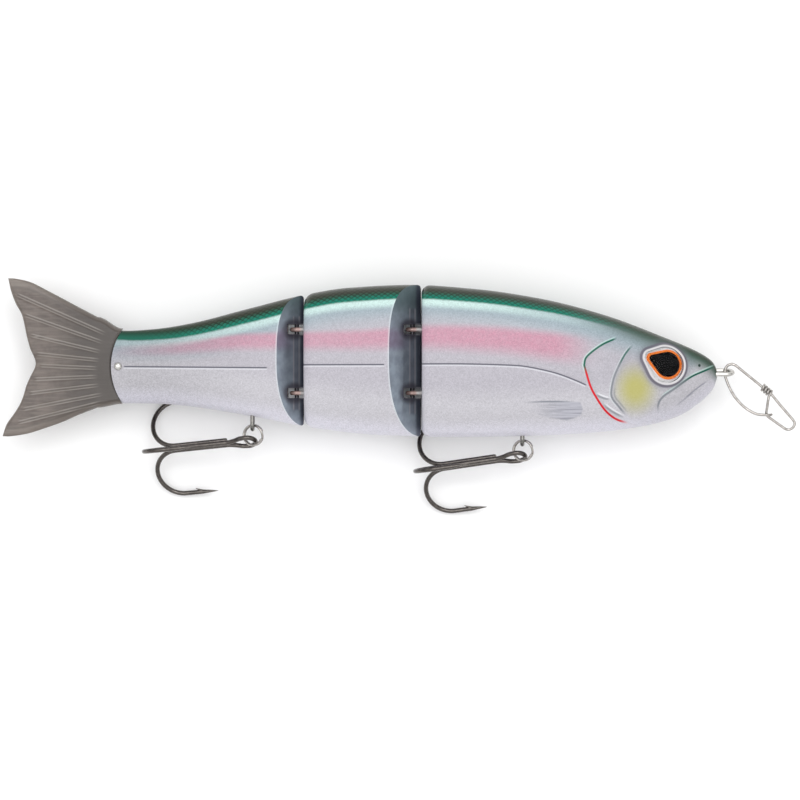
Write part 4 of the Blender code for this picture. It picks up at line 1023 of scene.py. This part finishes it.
def tie_path():
    """The line tie: its bow stands out of the nose, turned a little about the body's length."""
    turns = [math.radians(90 - 7.5 * k) for k in range(25)]
    bow_x = TIE_END_X - TIE_WIRE_R - TIE_HALF
    bow = [Vector((bow_x + TIE_HALF * math.cos(a), 0, TIE_HALF * math.sin(a))) for a in turns]
    path = u_wire(bow, bow_x - 0.5, 71, TIE_HALF, 1.4, 0.8, lambda ahead, side: (ahead, 0, side))
    roll = Matrix.Rotation(TIE_TILT, 3, "X")
    return [roll @ p + Vector((0, TIE_Y, 0)) for p in path]


def straight(start, end, radius, steps=8):
    """A pin with rounded ends, as a path and its radii."""
    a, b = Vector(start), Vector(end)
    ahead = (b - a).normalized()
    turns = [math.pi / 2 * k / steps for k in range(steps)]
    cap = [(0.25 * (1 - math.sin(t)), math.cos(math.pi / 2 - t)) for t in turns]
    points = [a + ahead * s for s, _ in cap] + [a + ahead * 0.3, b - ahead * 0.3]
    radii = [max(r, 0.05) * radius for _, r in cap] + [radius, radius]
    points += [b - ahead * s for s, _ in reversed(cap)]
    radii += [max(r, 0.05) * radius for _, r in reversed(cap)]
    return points, radii


def build_pins_and_eyes():
    for label, pin_x, pin_y, ahead, behind in (
            ("front", FRONT_PIN_X, FRONT_PIN_Y, "head", "mid_section"),
            ("rear", REAR_PIN_X, REAR_PIN_Y, "mid_section", "rear_section")):
        points, radii = straight((pin_x, pin_y[0], 0), (pin_x, pin_y[1], 0), PIN_R)
        pin = mesh_object(f"{label}_pin_bar", *sweep(points, radii, 24))
        dress(pin, PIN_STEEL, behind, [f"{label}_hinge_pin"])
        for name, y in zip(("upper", "lower"), LUG_Y):
            eye = mesh_object(f"{label}_{name}_wire_eye", *sweep(lug_path(pin_x, y), EYE_WIRE_R, 20))
            dress(eye, PINK_TIPPED_STEEL, ahead, [f"{label}_joint_eye_{name}"])
    for label, place, body in (("front", FRONT_HANGER, "head"), ("rear", REAR_HANGER, "rear_section")):
        hanger = mesh_object(f"{label}_hanger_wire", *sweep(hanger_path(*place), HANGER_WIRE_R * 0.97, 20))
        dress(hanger, DARK_STEEL, body, [f"{label}_hook_hanger"])
    tie = mesh_object("line_tie_wire", *sweep(tie_path(), TIE_WIRE_R, 24))
    dress(tie, STEEL, "head", ["line_tie"])

def build_tail_pin():
    """A thin bar with a domed head on each side."""
    x, y = TAIL_PIN
    out = float(flank_z(x))
    profile = [(0.03, 0.62), (0.35, 0.58), (0.65, 0.48), (0.9, 0.33), (1.04, 0.16), (1.1, 0.02),
               (1.0, -0.06), (0.6, -0.1)]
    points = [(x, y, -out - h) for _, h in profile] + [(x, y, out + h) for _, h in profile[::-1]]
    radii = [r for r, _ in profile + profile[::-1]]
    turns = np.linspace(0, 2 * math.pi, 32, endpoint=False)
    rings = [np.stack([px + r * np.cos(turns), py + r * np.sin(turns), np.full(32, pz)], axis=1)
             for (px, py, pz), r in zip(points, radii)]
    pin = mesh_object("tail_pin_domed", np.concatenate(rings), tube_faces(len(rings), 32), smooth=60)
    dress(pin, STEEL, "rear_section", ["tail_pin"])


def ring_point(centre, turn, layer):
    flat = Vector((RING_R * math.cos(turn), RING_R * math.sin(turn), layer))
    return centre + Matrix.Rotation(-RING_TILT, 3, "Y") @ flat


def ring_centre(hanger):
    x, y = hanger
    return Vector((x + 0.2, y + RING_LIFT - RING_R, 0.08))


def build_ring(label, hanger):
    """A split ring: two turns of wire and the step between them."""
    centre = ring_centre(hanger)
    points = [ring_point(centre, math.radians(22 + 4 * k), -RING_LAYER) for k in range(78)]
    for k in range(1, 13):
        share = k / 13
        rise = RING_LAYER * math.sin(math.pi * (share - 0.5))
        points.append(ring_point(centre, math.radians(330 + 62 * share), rise))
    points += [ring_point(centre, math.radians(392 + 4 * k), RING_LAYER) for k in range(78)]
    radii = np.full(len(points), RING_WIRE_R * 0.94)
    radii[:2] *= (0.75, 0.95)
    radii[-2:] *= (0.95, 0.75)
    ring = mesh_object(f"{label}_ring_wire", *sweep(points, radii, 18))
    dress(ring, NICKEL, f"{label}_ring", [f"{label}_split_ring"])


def hook_axes(slope):
    down = -Vector((math.cos(HOOK_DROP) * math.cos(slope), math.cos(HOOK_DROP) * math.sin(slope),
                    math.sin(HOOK_DROP)))
    up = Vector((0, 0, 1))
    third = (up - down * up.dot(down)).normalized()
    side = third.cross(down)
    side = side if side.y > 0 else -side
    upper = -0.5 * third + math.sqrt(0.75) * side
    lower = -0.5 * third - math.sqrt(0.75) * side
    return down, upper, lower, third


def hook_arm(base, down, arm):
    """Points and thickness factors from the lower end of the shank round the bend to the point."""
    wide = (HOOK_REACH - HOOK_CORE) / 2
    points, factors = [], []
    for k in range(37):
        a = math.radians(-90 + 5 * k)
        along = HOOK_BEND_AT + HOOK_BEND_LONG * math.cos(a)
        points.append(base + down * along + arm * (HOOK_CORE + wide * (1 + math.sin(a))))
        factors.append(1.0)
    for k in range(1, 19):
        along = HOOK_POINT * k / 18
        out = 0.2 * (along / HOOK_POINT) ** 2
        points.append(base + down * (HOOK_BEND_AT - along) + arm * (HOOK_REACH + out))
        left = (HOOK_POINT - along) / 4.6
        factors.append(1.0 if left > 1 else max(0.04, left ** 0.75))
    return points, factors


def barb(base, down, arm):
    """The barb: a sliver raised from the inner side of the arm, pointing back to the bend."""
    points, radii = [], []
    for k in range(9):
        t = k / 8
        along = HOOK_POINT - 3.9 - 2.2 * t
        lift = -(0.1 + 1.3 * t ** 1.2)
        points.append(base + down * (HOOK_BEND_AT - along) + arm * (HOOK_REACH + 0.1 + lift))
        radii.append(HOOK_WIRE_R * (0.72 * (1 - t) ** 0.8 + 0.05))
    return sweep(points, radii, 12)


def build_treble(label, hanger, slope):
    """A double hook, whose wire makes the eye, and a third hook brazed in the groove of its shanks."""
    crossing = ring_point(ring_centre(hanger), HOOK_AT, 0.0)
    down, upper, lower, third = hook_axes(slope)
    wide = (third - lower).normalized()
    eye = crossing - down * HOOK_PLAY[0] - wide * HOOK_PLAY[1]
    base = eye + upper * (HOOK_CORE / 2)
    near = HOOK_CORE * math.sqrt(0.75)
    shoulder = [eye + down * s + wide * w for s, w in
                ((HOOK_EYE_SHOULDER + 1.2, near), (HOOK_EYE_SHOULDER, near + 0.03), (6.2, 1.2), (4.6, 2.02),
                 (HOOK_EYE_HALF + HOOK_WIRE_R, HOOK_EYE_HALF))]
    middle = eye + down * (HOOK_EYE_HALF + HOOK_WIRE_R)
    turns = [math.pi * k / 24 for k in range(1, 24)]
    end = [middle + HOOK_EYE_HALF * (wide * math.cos(a) - down * math.sin(a)) for a in turns]
    mirrored = [p - 2 * wide * (p - eye).dot(wide) for p in shoulder]
    one = flowing(shoulder, 8) + end + flowing(list(reversed(mirrored)), 8)
    first, first_f = hook_arm(base, down, third)
    last, last_f = hook_arm(base, down, lower)
    points = list(reversed(first)) + one + last
    radii = np.array(list(reversed(first_f)) + [1.0] * len(one) + last_f) * HOOK_WIRE_R
    parts = [sweep(points, radii, 20), barb(base, down, third), barb(base, down, lower)]
    double = joined(f"{label}_hook_pair", parts)
    dress(double, BLACK_NICKEL, f"{label}_treble", [f"{label}_treble_double"])
    points, factors = hook_arm(base, down, upper)
    start = base + down * (HOOK_EYE_SHOULDER + 0.4) + upper * HOOK_CORE
    lead_in = [start.lerp(points[0], t) for t in (0, 0.01, 0.03, 0.3, 0.6, 0.9)]
    radii = np.array([0.45, 0.85, 1.0, 1.0, 1.0, 1.0] + factors) * HOOK_WIRE_R
    single = joined(f"{label}_hook_third", [sweep(lead_in + points, radii, 20), barb(base, down, upper)])
    dress(single, BLACK_NICKEL, f"{label}_treble", [f"{label}_treble_single"])


def build_snap():
    corner = [(104.2, -5.5), (98.9, 0.7), (96.4, 2.75), (89.5, 8.35)]
    leg = flowing([(*corner[0], 0), (101.4, -2.3, 0), (*corner[1], 0), (*corner[2], 0), (93, 5.5, 0),
                   (*corner[3], 0)], 8)
    # the coil that closes the wire's end round its leg
    coil, turns, steps = [], 3.25, 36
    reach, up = Vector((2.75, -2.28, 0)), Vector((0, 0, 1))
    across = up.cross(reach.normalized())
    for k in range(int(turns * steps) + 1):
        share = 0.12 + 0.76 * k / steps / turns
        a = 2 * math.pi * k / steps
        spoke = across * math.cos(a) + up * math.sin(a)
        coil.append(Vector((96.25, 2.87, 0)) + reach * share + SNAP_COIL_R * spoke)
    bar = [coil[-1] + Vector((-0.45, -0.75, -0.02)), Vector((98.0, -1.2, 0.62)), Vector((97.8, -2.9, 0.3)),
           Vector((97.65, -4.3, 0.0))]
    low_leg = [(98.05, -5.25, 0), (99.4, -6.25, 0), (101.8, -7.95, 0), (102.6, -8.5, 0), (103.6, -8.75, 0),
               (104.7, -8.2, 0), (105.2, -7.1, 0), (104.85, -6.3, 0)]
    end_bend = [(88.5, 8.75, 0), (87.5, 8.45, 0), (86.75, 7.6, 0), (86.6, 6.5, 0), (86.75, 5.2, 0)]
    gate = [(87.7, 2.7, 0), (89.2, 0.0, 0.1), (91.5, -2.55, 0.3), (93.8, -4.1, 0.6), (95.4, -4.7, 0.8),
            (97.3, -4.85, 0.86), (98.4, -4.85, 0.75), (99.0, -4.75, 0.2)]
    points = coil + flowing(bar + [Vector(p) for p in low_leg], 7) + leg
    points += flowing([Vector(p) for p in end_bend + gate], 7)
    snap = mesh_object("snap_wire", *sweep(points, SNAP_WIRE_R, 14))
    dress(snap, NICKEL, "snap", ["snap"])


# ---------------------------------------------------------------- the soft tail
RAYS = [((-102.4, 27.4), (-77.8, 16.5)), ((-100.2, 21.9), (-78.6, 14.3)), ((-98.7, 16.5), (-79.3, 11.9)),
        ((-97.1, 11.5), (-79.6, 9.7)), ((-96.2, 8.35), (-80.2, 7.6)), ((-97.7, 4.65), (-80.2, 5.4)),
        ((-99.0, 0.9), (-79.6, 3.15)), ((-100.8, -3.4), (-78.7, 0.75)), ((-102.2, -7.0), (-78.7, -1.3))]


def tail_sheet(u, v):
    """A point of the fin's outline sheet: u from its root to its rear edge, v from below to above."""
    under, top, rear = np.array(TAIL_UNDER), np.array(TAIL_TOP), np.array(TAIL_REAR)

    def along(points, t):
        dense = np.array([tuple(p) for p in flowing([(*p, 0) for p in points], 8)])[:, :2]
        at = np.asarray(t) * (len(dense) - 1)
        i = np.clip(at.astype(int), 0, len(dense) - 2)
        return dense[i] + (dense[i + 1] - dense[i]) * (at - i)[..., None]

    u, v = np.asarray(u, float), np.asarray(v, float)
    low, high, hind = along(under, u), along(top, u), along(rear, v)
    root = under[0] + (top[0] - under[0]) * v[..., None]
    a, b = u[..., None], v[..., None]
    corners = ((under[0] * (1 - b) + top[0] * b) * (1 - a) + (under[-1] * (1 - b) + top[-1] * b) * a)
    return low * (1 - b) + high * b + root * (1 - a) + hind * a - corners


def closed_sheet(x, y, half):
    """A sheet of given half thickness over a grid of places, closed along its border."""
    count, width = x.shape
    sides = [np.stack([x, y, z], axis=2).reshape(-1, 3) for z in (half, -half)]
    size = count * width
    faces = []
    for i in range(count - 1):
        for j in range(width - 1):
            a, b, c, d = i * width + j, i * width + j + 1, (i + 1) * width + j + 1, (i + 1) * width + j
            faces += [(a, b, c, d), (size + d, size + c, size + b, size + a)]
    border = list(range(width)) + [i * width + width - 1 for i in range(1, count)]
    border += [(count - 1) * width + j for j in range(width - 2, -1, -1)]
    border += [i * width for i in range(count - 2, 0, -1)]
    faces += [(b, a, size + a, size + b) for a, b in zip(border, border[1:] + border[:1])]
    return np.concatenate(sides), faces


def tail_columns(v):
    """The tail from the body's end to its rear edge: places, half thickness and share of the fin."""
    near, far = 14, 84
    root_half, edge_half = 2.3, 0.45
    front_y = -1.9 + 20.1 * v
    reach = TAIL_EDGE_R + TAIL_GAP
    front_x = TAIL_EDGE_X + TAIL_EDGE_R - np.sqrt(reach ** 2 - (front_y - TAIL_EDGE_Y) ** 2)
    flex = tail_sheet(np.zeros_like(v), v)
    columns, thick = [], []
    for t in np.arange(near) / near:
        ease = smoothstep(0, 1, t)
        x = front_x * (1 - t) + flex[:, 0] * t
        y = front_y * (1 - ease) + flex[:, 1] * ease
        columns.append(np.stack([x, y], axis=1))
        thick.append(root_half * (1 - t) + TAIL_BASE_HALF * t)
    for u in np.arange(far + 1) / far:
        columns.append(tail_sheet(np.full_like(v, u), v))
        thick.append((TAIL_BASE_HALF - edge_half) * (1 - u) ** 1.4 + edge_half)
    share = np.concatenate([np.zeros(near), np.arange(far + 1) / far])
    ones = np.ones_like(v)
    return np.array(columns), np.outer(thick, ones), np.outer(share, ones)


def build_tail():
    """The tail as one soft moulding, from the body's end over the place where it bends to its edge."""
    v = np.linspace(0, 1, 121)
    flat, half, share = tail_columns(v)
    x, y = flat[..., 0], flat[..., 1]
    rim = np.minimum(np.minimum(v, 1 - v) * 26.0, (1 - share) * 22.0)
    ray, ray_gap, ray_on = np.zeros_like(x), np.full_like(x, 9.0), np.zeros_like(x)
    for a, b in RAYS:
        field, along = line_field(x, y, [a, b])
        away = np.abs(field)
        ends = smoothstep(0, 0.06, along) * smoothstep(1.0, 0.84, along)
        ray = np.maximum(ray, np.exp(-(away / 0.5) ** 2) * ends)
        ray_on = np.where(away < ray_gap, ends, ray_on)
        ray_gap = np.minimum(ray_gap, away)
    fine = 0.5 + 0.5 * np.cos(np.arctan2(y - 8.3, x + 60.0) * 150.0)
    half = half + 0.2 * ray + 0.05 * fine * smoothstep(0.1, 0.3, share)
    half *= 0.2 + 0.8 * np.sqrt(np.clip(rim / 1.5, 0, 1))
    half *= 0.9 + 0.1 * smoothstep(0, 2, np.arange(len(half)))[:, None]
    tail = mesh_object("tail_moulding", *closed_sheet(x, y, half), smooth=70)
    for name, values in (("ray_gap", ray_gap), ("ray_on", ray_on), ("rim", rim), ("root", share)):
        give(tail, name, np.tile(values.ravel(), 2))
    dress(tail, soft_tail(), None, ["tail_root", "tail_fin"])
    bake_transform(tail)


# ---------------------------------------------------------------- hidden weights keep their CAD shape
def dress_weights():
    for name in ("head_ballast_front", "head_ballast_rear", "mid_ballast", "rear_ballast"):
        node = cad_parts[name]
        for slot in node.material_slots:
            slot.material = LEAD


# ---------------------------------------------------------------- stage
def build_stage():
    scene = bpy.context.scene
    scene.view_settings.view_transform = "Standard"
    look = Look("pale_floor")
    look.colour = look.mix(look.noise(0.004), (0.93, 0.93, 0.93, 1), (0.95, 0.95, 0.95, 1))
    look.finish(0.85)
    half = 3.0
    mesh = bpy.data.meshes.new("floor")
    mesh.from_pydata([(-half, -half, 0), (half, -half, 0), (half, half, 0), (-half, half, 0)], [],
                     [(0, 1, 2, 3)])
    mesh.materials.append(look.material)
    floor = placed_object("floor", mesh)
    floor.location.z = -0.00002

    scene.world = bpy.data.worlds.new("studio")
    scene.world.use_nodes = True
    sky = Nodes(scene.world.node_tree)
    background = sky.tree.nodes["Background"]
    height = sky.add("SeparateXYZ", {0: sky.add("TexCoord", {}, "Generated")}, "Z")
    sky.put(background.inputs["Strength"], sky.ramp(height, -0.1, 0.95, 0.5, 1.07))
    background.inputs["Color"].default_value = (1, 1, 1, 1)

    for name, place, target, width, depth, power in (
            ("key", (-0.1, 0.2, 1.3), (0, 0, 0), 1.3, 1.1, 6.6),
            ("glint", (0.24, 0.62, 1.2), (0.05, 0.01, 0.01), 0.3, 0.26, 0.9)):
        light = bpy.data.lights.new(name, "AREA")
        light.shape = "RECTANGLE"
        light.size, light.size_y, light.energy = width, depth, power
        lamp = placed_object(name, light)
        lamp.location = place
        lamp.rotation_euler = (Vector(target) - Vector(place)).to_track_quat("-Z", "Y").to_euler()

    lens = bpy.data.cameras.new("camera")
    camera = placed_object("camera", lens)
    scene.camera = camera
    far, field = 0.875, 0.2132
    lens.sensor_width = 36
    lens.lens = lens.sensor_width * far / field
    lens.clip_start = 0.01
    camera.location = (0, -0.00085, HALF_WIDTH * MM + far)
    camera.rotation_euler = (0, 0, 0)


build_body()
build_eyes()
build_pins_and_eyes()
build_tail_pin()
for tag, spot, tilt in (("front", FRONT_HANGER, FRONT_HOOK_SLOPE), ("rear", REAR_HANGER, REAR_HOOK_SLOPE)):
    build_ring(tag, spot)
    build_treble(tag, spot, tilt)
build_snap()
build_tail()
dress_weights()
build_stage()
